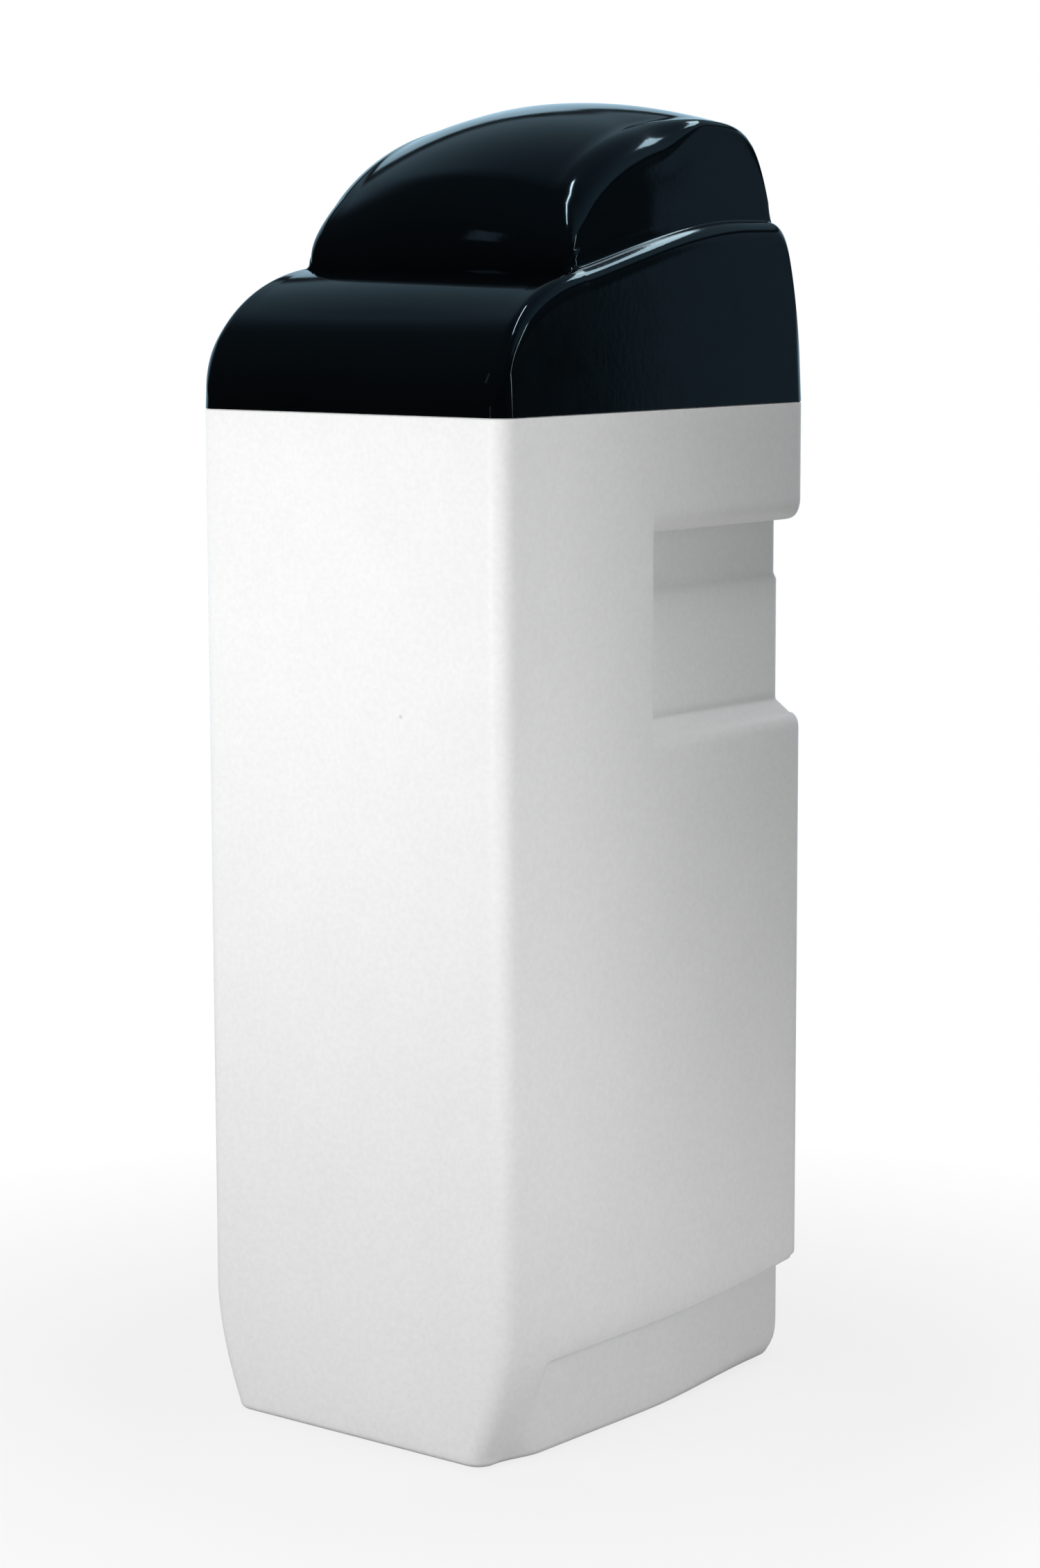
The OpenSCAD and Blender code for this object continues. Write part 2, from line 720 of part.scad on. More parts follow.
module float_rod() {
  top = block_z + valve_block[2];
  color(steel) at_well() {
    zcyl(2, float_z - 40, top + 0.2, float_x);
    zcyl(5, top + 0.2, top + 4, float_x);
  }
}
module brine_float() {
  color(red_plastic) at_well() translate([float_x, 0, 0])
    ring(float_r, 2 + run_fit, float_z, float_z + float_h);
}
module float_grommets() {
  color(rubber_black) at_well() translate([float_x, 0, 0]) {
    ring(5, 2 + run_fit, float_z - grommet_h, float_z);
    ring(5, 2 + run_fit, float_z + float_h, float_z + float_h + grommet_h);
  }
}
module well_elbow() {
  color(black_plastic) at_well() difference() {
    union() {
      ycyl(arm_r, valve_block[1] / 2, arm_l, 0, arm_z);
      translate([0, arm_l, arm_z]) sphere(socket_r);
      zcyl(socket_r, arm_z, arm_z + socket_l, 0, arm_l);
    }
    ycyl(3, valve_block[1] / 2 - eps, arm_l, 0, arm_z);
    zcyl(3, arm_z, arm_z + socket_l + eps, 0, arm_l);
  }
}

// Brine line: one tube from the valve's elbow to the well's elbow

elbow_r = 9;
elbow_bore = 3;
elbow_run = 14;
elbow_drop = 24;
line_dip = 53;
line_arch = 125;
line_start = [-(boss_x + elbow_run), vessel_y + brine_boss_y, vessel_top + axis_z - elbow_drop];
line_end = [well_x, well_y + arm_l, arm_z + socket_l];
line_curve = [line_start, line_start - [0, 0, line_dip], line_end + [0, 0, line_arch], line_end];
line_rings = 28;
line_sides = 10;
function line_slope(t) =
  3 * pow(1 - t, 2) * (line_curve[1] - line_curve[0]) + 6 * t * (1 - t) * (line_curve[2] - line_curve[1])
  + 3 * t * t * (line_curve[3] - line_curve[2]);
function line_ring(t) =
  let (d = line_slope(t) / norm(line_slope(t)))
  let (a = cross(d, [1, 0, 0]) / norm(cross(d, [1, 0, 0])), b = cross(d, a))
  [for (k = [0:line_sides - 1])
    bez3(line_curve, t) + line_r * (cos(360 * k / line_sides) * a + sin(360 * k / line_sides) * b)];
module brine_line() {
  n = line_sides;
  last = (line_rings - 1) * n;
  pts = [for (i = [0:line_rings - 1]) each line_ring(i / (line_rings - 1))];
  walls = [for (i = [0:line_rings - 2]) for (k = [0:n - 1])
    let (a = i * n + k, b = i * n + (k + 1) % n) each [[a, a + n, b + n], [a, b + n, b]]];
  caps = [[for (k = [0:n - 1]) k], [for (k = [n - 1:-1:0]) last + k]];
  color(natural_plastic) polyhedron(pts, concat(walls, caps));
}

// Overflow in the left pocket

overflow_r = 10;
overflow_y = pocket_y + 26;
overflow_flange = 14;
gasket_t = 2;
overflow_arm = 14;
overflow_l = 36;
overflow_bore = 4.5;
barb_neck = 10;
module overflow_elbow() {
  skin_x = -pocket_x;
  out_x = skin_x - gasket_t;
  color(black_plastic) translate([0, overflow_y, overflow_z]) difference() {
    union() {
      xcyl(overflow_r, out_x, skin_x + wall + 8);
      xcyl(overflow_flange, out_x - 4, out_x);
      xcyl(elbow_r, skin_x - overflow_arm, out_x - 4);
      translate([skin_x - overflow_arm, 0, 0]) sphere(elbow_r);
      ycyl(elbow_r, 0, barb_neck, skin_x - overflow_arm);
      ycyl(barb_r, 0, overflow_l, skin_x - overflow_arm);
    }
    xcyl(overflow_bore, skin_x - overflow_arm, skin_x + wall + 8 + eps);
    ycyl(overflow_bore, 0, overflow_l + eps, skin_x - overflow_arm);
  }
}
module overflow_gasket() {
  color(rubber_black) translate([-pocket_x - gasket_t, overflow_y, overflow_z]) rotate([0, 90, 0]) {
    ring(overflow_flange, overflow_r + slip, 0, gasket_t);
  }
}
module overflow_nut() {
  color(black_plastic) translate([-pocket_x + wall, overflow_y, overflow_z]) rotate([0, 90, 0]) difference() {
    cylinder(r = overflow_flange + 1, h = 7, $fn = 6);
    zcyl(overflow_r + run_fit, -eps, 8);
  }
}

// Resin vessel

shoulder_z = vessel_top - neck_rise + 3 - shoulder_bulge;
// Half outline of the vessel, grown outwards by g, from the bottom to the neck's foot
function vessel_edge(g, neck) =
  let (r = vessel_r + g, b = bottom_bulge + g, s = shoulder_bulge + g, stop = acos(neck / r))
  concat([for (i = [0:10]) [r * sin(9 * i), vessel_z + bottom_bulge - b * cos(9 * i)]],
    [for (i = [0:8]) [r * cos(stop * i / 8), shoulder_z + s * sin(stop * i / 8)]]);
function reversed(l) = [for (i = [len(l) - 1:-1:0]) l[i]];
module vessel_foot() {
  bowl = [for (i = [0:10])
    [(vessel_r + slip) * sin(9 * i), vessel_z + bottom_bulge - (bottom_bulge + slip) * cos(9 * i)]];
  foot_r = vessel_r + 2.5;
  foot_edge = floor_round + 2;
  color(black_plastic) at_vessel() difference() {
    rotate_extrude() polygon([[0, floor_t], [foot_r - foot_edge, floor_t], [foot_r, floor_t + foot_edge + 2],
      [foot_r, floor_t + foot_h], [0, floor_t + foot_h]]);
    rotate_extrude() polygon(concat(bowl,
      [[vessel_r + slip, vessel_z + bottom_bulge + 10], [0, vessel_z + bottom_bulge + 10]]));
  }
}
module resin_vessel() {
  neck_out = neck_r + neck_t;
  color(vessel_blue) at_vessel() rotate_extrude()
    polygon(concat(vessel_edge(0, neck_out), [[neck_out, vessel_top],
    [neck_r, vessel_top]], reversed(vessel_edge(-vessel_t, neck_r))));
}
module resin_bed() {
  gap = -vessel_t - slip;
  bowl = [for (i = [0:10])
    [(vessel_r + gap) * sin(9 * i), vessel_z + bottom_bulge - (bottom_bulge + gap) * cos(9 * i)]];
  color(resin_amber) at_vessel() difference() {
    rotate_extrude() polygon(concat(bowl, [[vessel_r + gap, resin_level], [0, resin_level]]));
    zcyl(basket_r + 1 + slip, vessel_z, basket_top + slip);
    zcyl(riser_r + slip, vessel_z, resin_level + eps);
  }
}
basket_low = vessel_z + vessel_t + 2;
basket_top = basket_low + 58;
riser_low = basket_low + 28;
module basket_slots(r, z0, z1) {
  for (i = [0:11]) rotate(30 * i) box(r - 6, r + 2 * eps, -0.7, 0.7, z0, z1);
}
module lower_distributor() {
  color(grey_plastic) at_vessel() difference() {
    zcyl(basket_r + 1, basket_low, basket_top);
    zcyl(basket_r - 3, basket_low + 4, riser_low - 4);
    zcyl(riser_r - riser_t, riser_low - 5, riser_low + eps);
    zcyl(riser_r + run_fit, riser_low, basket_top + eps);
    basket_slots(basket_r + 1, basket_low + 6, riser_low - 6);
  }
}
module riser_tube() {
  color(natural_plastic) at_vessel() ring(riser_r, riser_r - riser_t, riser_low, vessel_top + 12);
}
module upper_distributor() {
  color(grey_plastic) at_valve() difference() {
    ring(basket_r, riser_r + 1.2, -66, -22);
    basket_slots(basket_r, -60, -28);
  }
}
module torus(big_r, small_r) {
  rotate_extrude() translate([big_r, 0]) circle(small_r, $fn = 24);
}
seal_r = neck_r + neck_t / 2;
seal_wire = 1.9;
module vessel_seal() {
  color(rubber_black) at_valve() translate([0, 0, seal_wire + 0.05]) torus(seal_r, seal_wire);
}
riser_wire = 1.6;
module riser_seal() {
  color(rubber_black) at_valve() translate([0, 0, 5]) torus(riser_r + riser_wire + 0.1, riser_wire);
}

// Valve

flange_r = housing_r + 5;
module boss(y) {
  xcyl(boss_r, -boss_x, -bore_r / 2, y, axis_z);
}
module boss_hole(y) {
  xcyl(boss_bore, -boss_x - eps, boss_depth - boss_x, y, axis_z);
  xcyl(2.5, -boss_x, -bore_r / 2, y, axis_z);
}
module valve_body() {
  neck_thread = neck_r - 0.4;
  color(black_plastic) at_valve() difference() {
    union() {
      zcyl(neck_thread, -22, 0);
      zcyl(neck_r + neck_t + 2, 0, 12);
      zcyl(housing_r + 2, 0, axis_z - 6);
      ycyl(housing_r, housing_front, housing_rear, 0, axis_z);
      ycyl(flange_r, housing_front, housing_front + flange_t, 0, axis_z);
      for (x = [-port_x, port_x]) ycyl(port_r, -4, port_end, x, port_z);
      for (y = [brine_boss_y, injector_y, drain_boss_y]) boss(y);
    }
    ycyl(bore_r, housing_front - eps, stack_front + stack_l + slip, 0, axis_z);
    for (x = [-port_x, port_x]) ycyl(port_bore, 12, port_end + eps, x, port_z);
    xcyl(8, -port_x, port_x, 21, port_z);
    for (y = [brine_boss_y, injector_y, drain_boss_y]) boss_hole(y);
    zcyl(riser_r + run_fit, -23, 14);
    zcyl(riser_r - riser_t, 13, axis_z);
    zcyl(riser_r + 2 * riser_wire + 0.4, 5 - riser_wire - 0.1, 5 + riser_wire + 0.1);
    ring(basket_r + 1, basket_r - 6, -23, 10);
    ring(seal_r + seal_wire + 0.2, seal_r - seal_wire - 0.2, -eps, 2 * seal_wire + 0.1);
    for (p = screw_places)
      ycyl(screw_r + run_fit, housing_front - eps, housing_front + flange_t, p[0], axis_z + p[1]);
  }
}
module seal_spacers() {
  color(natural_plastic) at_valve() translate([0, 0, axis_z]) for (i = [0:4]) {
    y = stack_front + seal_l + i * (seal_l + spacer_l);
    yring(bore_r - slip, piston_r + 3, y, y + spacer_l);
  }
}
module piston_seals() {
  color(rubber_black) at_valve() translate([0, 0, axis_z]) for (i = [0:5]) {
    y = stack_front + i * (seal_l + spacer_l);
    yring(bore_r - slip, piston_r + run_fit, y, y + seal_l);
  }
}
module piston() {
  front = piston_rear - piston_l;
  color(natural_plastic) at_valve() translate([0, 0, axis_z]) {
    ycyl(piston_r, front, front + 16);
    ycyl(piston_r - 5, front + 16, piston_rear - 14);
    ycyl(piston_r, piston_rear - 14, piston_rear);
  }
}
module piston_rod() {
  color(steel) at_valve() ycyl(rod_r, rod_front, piston_rear - piston_l, 0, axis_z);
}
module end_plug() {
  color(grey_plastic) at_valve() translate([0, 0, axis_z]) difference() {
    union() {
      ycyl(bore_r - slip, housing_front, stack_front);
      ycyl(11, bracket_y - 1, housing_front);
    }
    ycyl(rod_r + run_fit, bracket_y - 2, stack_front + eps);
  }
}

// Drive and control head

screw_r = 2;
screw_off = (bore_r + flange_r) / 2 * sqrt(0.5);
screw_places = [for (x = [-1, 1], z = [-1, 1]) [x * screw_off, z * screw_off]];
module at_drive() {
  at_valve() translate([0, 0, axis_z]) children();
}
module drive_bracket() {
  color(steel) at_drive() {
    difference() {
      box(-head_w, head_w, bracket_y, housing_front, -axis_z, head_h - axis_z);
      ycyl(11 + slip, bracket_y - eps, housing_front + eps);
      ycyl(shaft_r + 2, bracket_y - eps, housing_front + eps, motor_c[0], motor_c[1]);
      for (p = screw_places) ycyl(screw_r + run_fit, bracket_y - eps, housing_front + eps, p[0], p[1]);
    }
    ycyl(axle_r, wheel_y - 2, bracket_y, wheel_c[0], wheel_c[1]);
  }
}
function involute(r, base) = r <= base ? 0 : let (t = sqrt(r * r / (base * base) - 1)) t * 180 / PI - atan(t);
// Outline of a gear with one tooth along +X
function gear_outline(teeth) =
  let (
    p = teeth * gear_m / 2,
    base = p * cos(pressure_angle),
    tip = p + addendum * gear_m,
    root = p - dedendum * gear_m,
    half = 90 / teeth - flank_slack / p * 180 / PI + involute(p, base),
    radii = [root, max(root + 0.05, base), (p + max(root, base)) / 2, p, (p + tip) / 2, tip]
  )
  [for (k = [0:teeth - 1]) each concat(
    [for (r = radii) let (a = 360 * k / teeth - half + involute(r, base)) r * [cos(a), sin(a)]],
    [for (i = [len(radii) - 1:-1:0])
      let (r = radii[i], a = 360 * k / teeth + half - involute(r, base)) r * [cos(a), sin(a)]])];
module gear(teeth, y0, y1, turn) {
  along_y(y0, y1) rotate(turn) polygon(gear_outline(teeth));
}
half_pinion = 180 / pinion_teeth;
module drive_gear() {
  color(natural_plastic) at_drive() difference() {
    union() {
      gear(drive_teeth, gear_y, gear_y + gear_t, wheel_angle);
      ycyl(10, gear_y - 2, gear_y);
    }
    ycyl(rod_r + run_fit, gear_y - 3, gear_y + gear_t + eps);
  }
}
module reduction_gear() {
  color(natural_plastic) at_drive() translate([wheel_c[0], 0, wheel_c[1]]) difference() {
    union() {
      gear(pinion_teeth, wheel_y + wheel_t, gear_y + gear_t, wheel_angle + 180 + half_pinion);
      gear(wheel_teeth, wheel_y, wheel_y + wheel_t, motor_angle);
    }
    ycyl(axle_r + run_fit, wheel_y - eps, gear_y + gear_t + eps);
  }
}
module motor_pinion() {
  color(steel) at_drive() translate([motor_c[0], 0, motor_c[1]]) {
    gear(pinion_teeth, wheel_y - 0.5, wheel_y + wheel_t, motor_angle + 180 + half_pinion);
    ycyl(shaft_r, wheel_y + wheel_t, housing_front + 10);
  }
}
module drive_motor() {
  color(steel) at_drive() translate([motor_c[0], 0, motor_c[1]]) difference() {
    ycyl(motor_r, housing_front, housing_front + motor_l);
    ycyl(shaft_r + run_fit, housing_front - eps, housing_front + 10 + slip);
  }
}
module bracket_screws() {
  color(steel) at_drive() for (p = screw_places) {
    ycyl(screw_r, bracket_y, housing_front + flange_t - slip, p[0], p[1]);
    ycyl(screw_r + 1.6, bracket_y - 1.6, bracket_y, p[0], p[1]);
  }
}
button_z = 45;
window_z = 85;
window = [56, 24];
lens = [62, 30];
lens_t = 1.5;
board_in = 9;
board_low = 12;
board_x = head_w - board_in;
post_r = 3;
post_in = 8;
function button_x(i) = (i - 1.5) * button_pitch;
module control_cover() {
  color(grey_plastic) at_valve() {
    difference() {
      box(-head_w, head_w, head_front, bracket_y, 0, head_h);
      box(head_t - head_w, head_w - head_t, head_front + head_t, bracket_y + eps, head_t, head_h - head_t);
      box(-window[0] / 2, window[0] / 2, head_front - eps, head_front + head_t + eps,
        window_z - window[1] / 2, window_z + window[1] / 2);
      box(-lens[0] / 2, lens[0] / 2, head_front - eps, head_front + lens_t,
        window_z - lens[1] / 2, window_z + lens[1] / 2);
      for (i = [0:3])
        ycyl(button_r + slip, head_front - eps, head_front + head_t + eps, button_x(i), button_z);
    }
    for (x = [-1, 1], z = [board_low + post_in, head_h - board_in - post_in]) {
      ycyl(post_r, head_front + head_t, board_y, x * (board_x - post_in), z);
    }
  }
}
module circuit_board() {
  color(board_green) at_valve() {
    box(-board_x, board_x, board_y, board_y + board_t, board_low, head_h - board_in);
    box(2 - lens[0] / 2, lens[0] / 2 - 2, board_y - 7, board_y, window_z - 13, window_z + 13);
  }
}
switch_l = 4;
module tact_switches() {
  color(black_plastic) at_valve() for (i = [0:3]) {
    box(button_x(i) - 3, button_x(i) + 3, board_y - switch_l, board_y, button_z - 3, button_z + 3);
  }
}
module display_lens() {
  color(clear_plastic) at_valve()
    box(slip - lens[0] / 2, lens[0] / 2 - slip, head_front + 0.1, head_front + lens_t,
    window_z - lens[1] / 2 + slip, window_z + lens[1] / 2 - slip);
}
module button(i) {
  inside = head_front + head_t + slip;
  color(grey_plastic) at_valve() translate([button_x(i), 0, button_z]) {
    ycyl(button_r, head_front - 2, inside);
    ycyl(button_r + 2, inside, inside + 1.5);
    ycyl(2.5, inside + 1.5, board_y - switch_l - button_travel - slip);
  }
}
module power_socket() {
  color(black_plastic) at_valve() difference() {
    box(6 - head_w, 20 - head_w, housing_front, housing_front + 14, head_h - 32, head_h - 20);
    difference() {
      ycyl(2.75, housing_front + 4, housing_front + 14 + eps, 13 - head_w, head_h - 26);
      ycyl(1, housing_front + 3, housing_front + 13, 13 - head_w, head_h - 26);
    }
  }
}

// Fittings on the valve

stub_t = 6;
stub_clear = 0.1;
module boss_stub(y) {
  xcyl(boss_bore - stub_clear, -boss_x, boss_depth - boss_x - slip, y, axis_z);
  xcyl(boss_r - 2, -boss_x - stub_t, -boss_x, y, axis_z);
}
module injector() {
  color(natural_plastic) at_valve() difference() {
    xcyl(boss_bore - stub_clear, -boss_x, boss_depth - boss_x - slip, injector_y, axis_z);
    xcyl(1.2, -boss_x - eps, boss_depth - boss_x, injector_y, axis_z);
  }
}
module injector_cap() {
  color(black_plastic) at_valve() translate([-boss_x, injector_y, axis_z]) rotate([0, -90, 0])
    cylinder(r = boss_r, h = 8, $fn = 6);
}
module brine_elbow() {
  x = -boss_x - elbow_run;
  color(black_plastic) at_valve() difference() {
    union() {
      boss_stub(brine_boss_y);
      xcyl(elbow_r, x, -boss_x - stub_t, brine_boss_y, axis_z);
      translate([x, brine_boss_y, axis_z]) sphere(elbow_r);
      zcyl(elbow_r, axis_z - elbow_drop, axis_z, x, brine_boss_y);
    }
    xcyl(elbow_bore, x, boss_depth - boss_x, brine_boss_y, axis_z);
    zcyl(elbow_bore, axis_z - elbow_drop - eps, axis_z, x, brine_boss_y);
  }
}
drain_x = -boss_x - 20;
drain_l = 34;
barb_bore = 4;
module drain_elbow() {
  color(black_plastic) at_valve() difference() {
    union() {
      boss_stub(drain_boss_y);
      xcyl(elbow_r, drain_x, -boss_x - stub_t, drain_boss_y, axis_z);
      translate([drain_x, drain_boss_y, axis_z]) sphere(elbow_r);
      ycyl(elbow_r, drain_boss_y, drain_boss_y + barb_neck, drain_x, axis_z);
      ycyl(barb_r, drain_boss_y, drain_boss_y + drain_l, drain_x, axis_z);
    }
    xcyl(barb_bore, drain_x, boss_depth - boss_x, drain_boss_y, axis_z);
    ycyl(barb_bore, drain_boss_y, drain_boss_y + drain_l + eps, drain_x, axis_z);
  }
}
bypass_y = port_end + bypass_l / 2;
rotor_r = port_bore + 1;
tower_t = 3.5;
tower_r = rotor_r + tower_t;
tower_floor = 4;
rotor_below = 18;
rotor_above = 26;
rotor_low = port_z - rotor_below;
rotor_top = port_z + rotor_above;
web = [12, 10];
module bypass_body() {
  color(black_plastic) at_valve() difference() {
    union() {
      for (x = [-port_x, port_x]) {
        ycyl(port_r, port_end, port_end + bypass_l, x, port_z);
        zcyl(tower_r, rotor_low - tower_floor, rotor_top, x, bypass_y);
      }
      box(-port_x, port_x, bypass_y - web[0], bypass_y + web[0], port_z - web[1], port_z + web[1]);
    }
    for (x = [-port_x, port_x]) {
      ycyl(port_bore, port_end - eps, port_end + bypass_l + eps, x, port_z);
      zcyl(rotor_r + run_fit, rotor_low, rotor_top + eps, x, bypass_y);
    }
  }
}
module rotor(x) {
  lever_w = 12;
  lever_t = 8;
  head_disc = 4;
  color(red_plastic) at_valve() translate([x, bypass_y, 0]) {
    difference() {
      zcyl(rotor_r, rotor_low + slip, rotor_top + slip);
      ycyl(port_bore - 2, -rotor_r - eps, rotor_r + eps, 0, port_z);
    }
    zcyl(tower_r, rotor_top + slip, rotor_top + head_disc);
    translate([0, 0, rotor_top + head_disc]) linear_extrude(lever_t) {
      translate([-lever_w / 2, -lever_l + lever_w / 2]) square([lever_w, lever_l - lever_w / 2]);
      translate([0, -lever_l + lever_w / 2]) circle(lever_w / 2);
      circle(lever_w * 0.7);
    }
  }
}
module inlet_rotor() {
  rotor(-port_x);
}
module outlet_rotor() {
  rotor(port_x);
}
cage_y = 50;
turbine_y = cage_y + 5;
turbine_l = 12;
pin_r = 1.5;
module meter_cage() {
  spoke_t = 2;
  color(natural_plastic) at_valve() translate([port_x, 0, port_z]) {
    yring(port_bore - 0.1, port_bore - 1.5, cage_y, cage_y + 4);
    for (a = [0, 60, 120]) rotate([0, a, 0])
      box(-port_bore + 1, port_bore - 1, cage_y, cage_y + 4, -spoke_t / 2, spoke_t / 2);
    ycyl(3, cage_y, cage_y + 4.7);
    ycyl(pin_r, cage_y, turbine_y + turbine_l + 2);
  }
}
module meter_turbine() {
  blade_t = 1.2;
  color(grey_plastic) at_valve() translate([port_x, 0, port_z])
    along_y(turbine_y, turbine_y + turbine_l) difference() {
    union() {
      circle(4);
      for (a = [0, 60, 120]) rotate(a) square([2 * (port_bore - 2), blade_t], center = true);
    }
    circle(pin_r + run_fit);
  }
}
module tail(x) {
  nut_y = port_end + bypass_l;
  color(steel) at_valve() translate([x, 0, port_z]) difference() {
    union() {
      translate([0, nut_y + nut_l, 0]) rotate([90, 0, 0]) cylinder(r = tail_r + 7, h = nut_l, $fn = 6);
      ycyl(tail_r, nut_y, tail_end);
    }
    ycyl(tail_r - 3.5, nut_y - eps, tail_end + eps);
  }
}
module inlet_tail() {
  tail(-port_x);
}
module outlet_tail() {
  tail(port_x);
}

cabinet();
cover();
salt_grid();
brine_well();
brine_well_cap();
safety_valve();
pickup_tube();
air_check();
check_ball();
float_rod();
brine_float();
float_grommets();
well_elbow();
brine_line();
overflow_elbow();
overflow_gasket();
overflow_nut();
vessel_foot();
resin_vessel();
resin_bed();
lower_distributor();
riser_tube();
upper_distributor();
vessel_seal();
riser_seal();
valve_body();
seal_spacers();
piston_seals();
piston();
piston_rod();
end_plug();
drive_bracket();
drive_gear();
reduction_gear();
motor_pinion();
drive_motor();
bracket_screws();
control_cover();
circuit_board();
tact_switches();
display_lens();
button(0);  // button_1
button(1);  // button_2
button(2);  // button_3
button(3);  // button_4
power_socket();
injector();
injector_cap();
brine_elbow();
drain_elbow();
bypass_body();
inlet_rotor();
outlet_rotor();
meter_cage();
meter_turbine();
inlet_tail();
outlet_tail();
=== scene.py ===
"""Cabinet water softener: the looks of its moulded cabinet, gloss cover and working parts."""

import json
import math
from collections import namedtuple

import bmesh
import bpy
import numpy as np
from bpy.props import FloatProperty, FloatVectorProperty, PointerProperty
from bpy.types import Operator, Panel, PropertyGroup
from mathutils import Matrix, Vector


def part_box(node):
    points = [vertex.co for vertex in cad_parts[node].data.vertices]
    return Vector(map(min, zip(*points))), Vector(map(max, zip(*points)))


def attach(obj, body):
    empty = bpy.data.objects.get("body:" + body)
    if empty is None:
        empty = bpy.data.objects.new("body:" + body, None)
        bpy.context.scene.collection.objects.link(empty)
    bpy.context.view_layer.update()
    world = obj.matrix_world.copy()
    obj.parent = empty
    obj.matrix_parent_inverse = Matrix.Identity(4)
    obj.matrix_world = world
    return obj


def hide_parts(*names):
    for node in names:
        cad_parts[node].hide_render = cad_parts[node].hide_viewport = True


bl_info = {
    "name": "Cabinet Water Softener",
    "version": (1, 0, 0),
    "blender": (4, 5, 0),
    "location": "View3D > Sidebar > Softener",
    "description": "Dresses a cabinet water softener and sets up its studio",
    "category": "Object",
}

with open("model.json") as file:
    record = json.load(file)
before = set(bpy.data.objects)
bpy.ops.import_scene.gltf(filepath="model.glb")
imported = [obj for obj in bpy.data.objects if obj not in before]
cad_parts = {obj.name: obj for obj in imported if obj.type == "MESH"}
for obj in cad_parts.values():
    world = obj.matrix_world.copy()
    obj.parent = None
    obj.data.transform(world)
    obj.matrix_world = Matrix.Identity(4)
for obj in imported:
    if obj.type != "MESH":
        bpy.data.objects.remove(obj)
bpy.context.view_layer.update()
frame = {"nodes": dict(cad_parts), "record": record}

MM = 0.001
CABINET_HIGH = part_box("cabinet")[1]


# Sizes, colours and stage settings

def length(name, text, default):
    """A size in metres that a user can change."""
    return FloatProperty(name=name, description=text, default=default, min=0.0, unit="LENGTH", precision=4)


def tint(name, text, default):
    """A colour that a user can change."""
    return FloatVectorProperty(name=name, description=text, default=default, subtype="COLOR", size=3,
                               min=0.0, max=1.0)


def angle(name, text, degrees):
    """An angle that a user can change."""
    return FloatProperty(name=name, description=text, default=math.radians(degrees), subtype="ANGLE")


class SoftenerCabinetSizes(PropertyGroup):
    """Sizes of the moulded cabinet."""

    half_width: length("Half width", "Half the cabinet's width", CABINET_HIGH[0])
    half_depth: length("Half depth", "Half the cabinet's depth", CABINET_HIGH[1])
    rim: length("Rim height", "Height of the rim above the floor", CABINET_HIGH[2])
    wall: length("Wall", "Wall thickness", 4 * MM)
    floor: length("Floor", "Thickness of the floor", 5 * MM)
    corner: length("Corner radius", "Radius of the upright corners", 18 * MM)
    rear_corner: length("Rear corner radius", "Radius of the rear corners in the pockets", 13 * MM)
    bottom: length("Bottom radius", "Radius along the bottom edges", 6 * MM)
    bottom_rear: length("Rear bottom radius", "Radius of the bottom edge at the rear corners", 26 * MM)
    taper_height: length("Taper height", "Height at which the sides start to draw in", 105 * MM)
    taper_in: length("Taper", "How far each side draws in at the base", 25 * MM)
    rim_round: length("Rim rounding", "Radius of the rim's outer edge", 2.2 * MM)
    pocket_front: length("Pocket length", "From the pocket's front wall to the rear face", 219 * MM)
    pocket_drop: length("Pocket drop", "From the rim down to the pocket's ceiling", 103 * MM)
    pocket_height: length("Pocket height", "Height of the pocket's mouth", 170 * MM)
    pocket_depth: length("Pocket depth", "Depth of the pocket's face", 27.5 * MM)
    pocket_step: length("Pocket step", "How much deeper the strip under the ceiling is", 3 * MM)
    pocket_strip: length("Pocket strip", "Height of the deeper strip", 48 * MM)
    lip: length("Lip radius", "Radius of the pocket's lower lip", 12 * MM)
    upper_lip: length("Upper lip radius", "Radius of the pocket's upper lip", 19 * MM)
    ledge_rise: length("Ledge rise", "Rise of the sloping ledge under the pocket", 11 * MM)
    recess_front: length("Recess distance", "From the front face to the recess's front end", 62 * MM)
    recess_height: length("Recess height", "Height of the base recess at its front end", 80 * MM)
    recess_rise: length("Recess rise", "How much higher the recess is at the rear", 16 * MM)
    recess_depth: length("Recess depth", "Depth of the recess's face at its front end", 15 * MM)
    recess_rear: length("Rear recess depth", "Depth of the recess's face at the rear", 22.5 * MM)


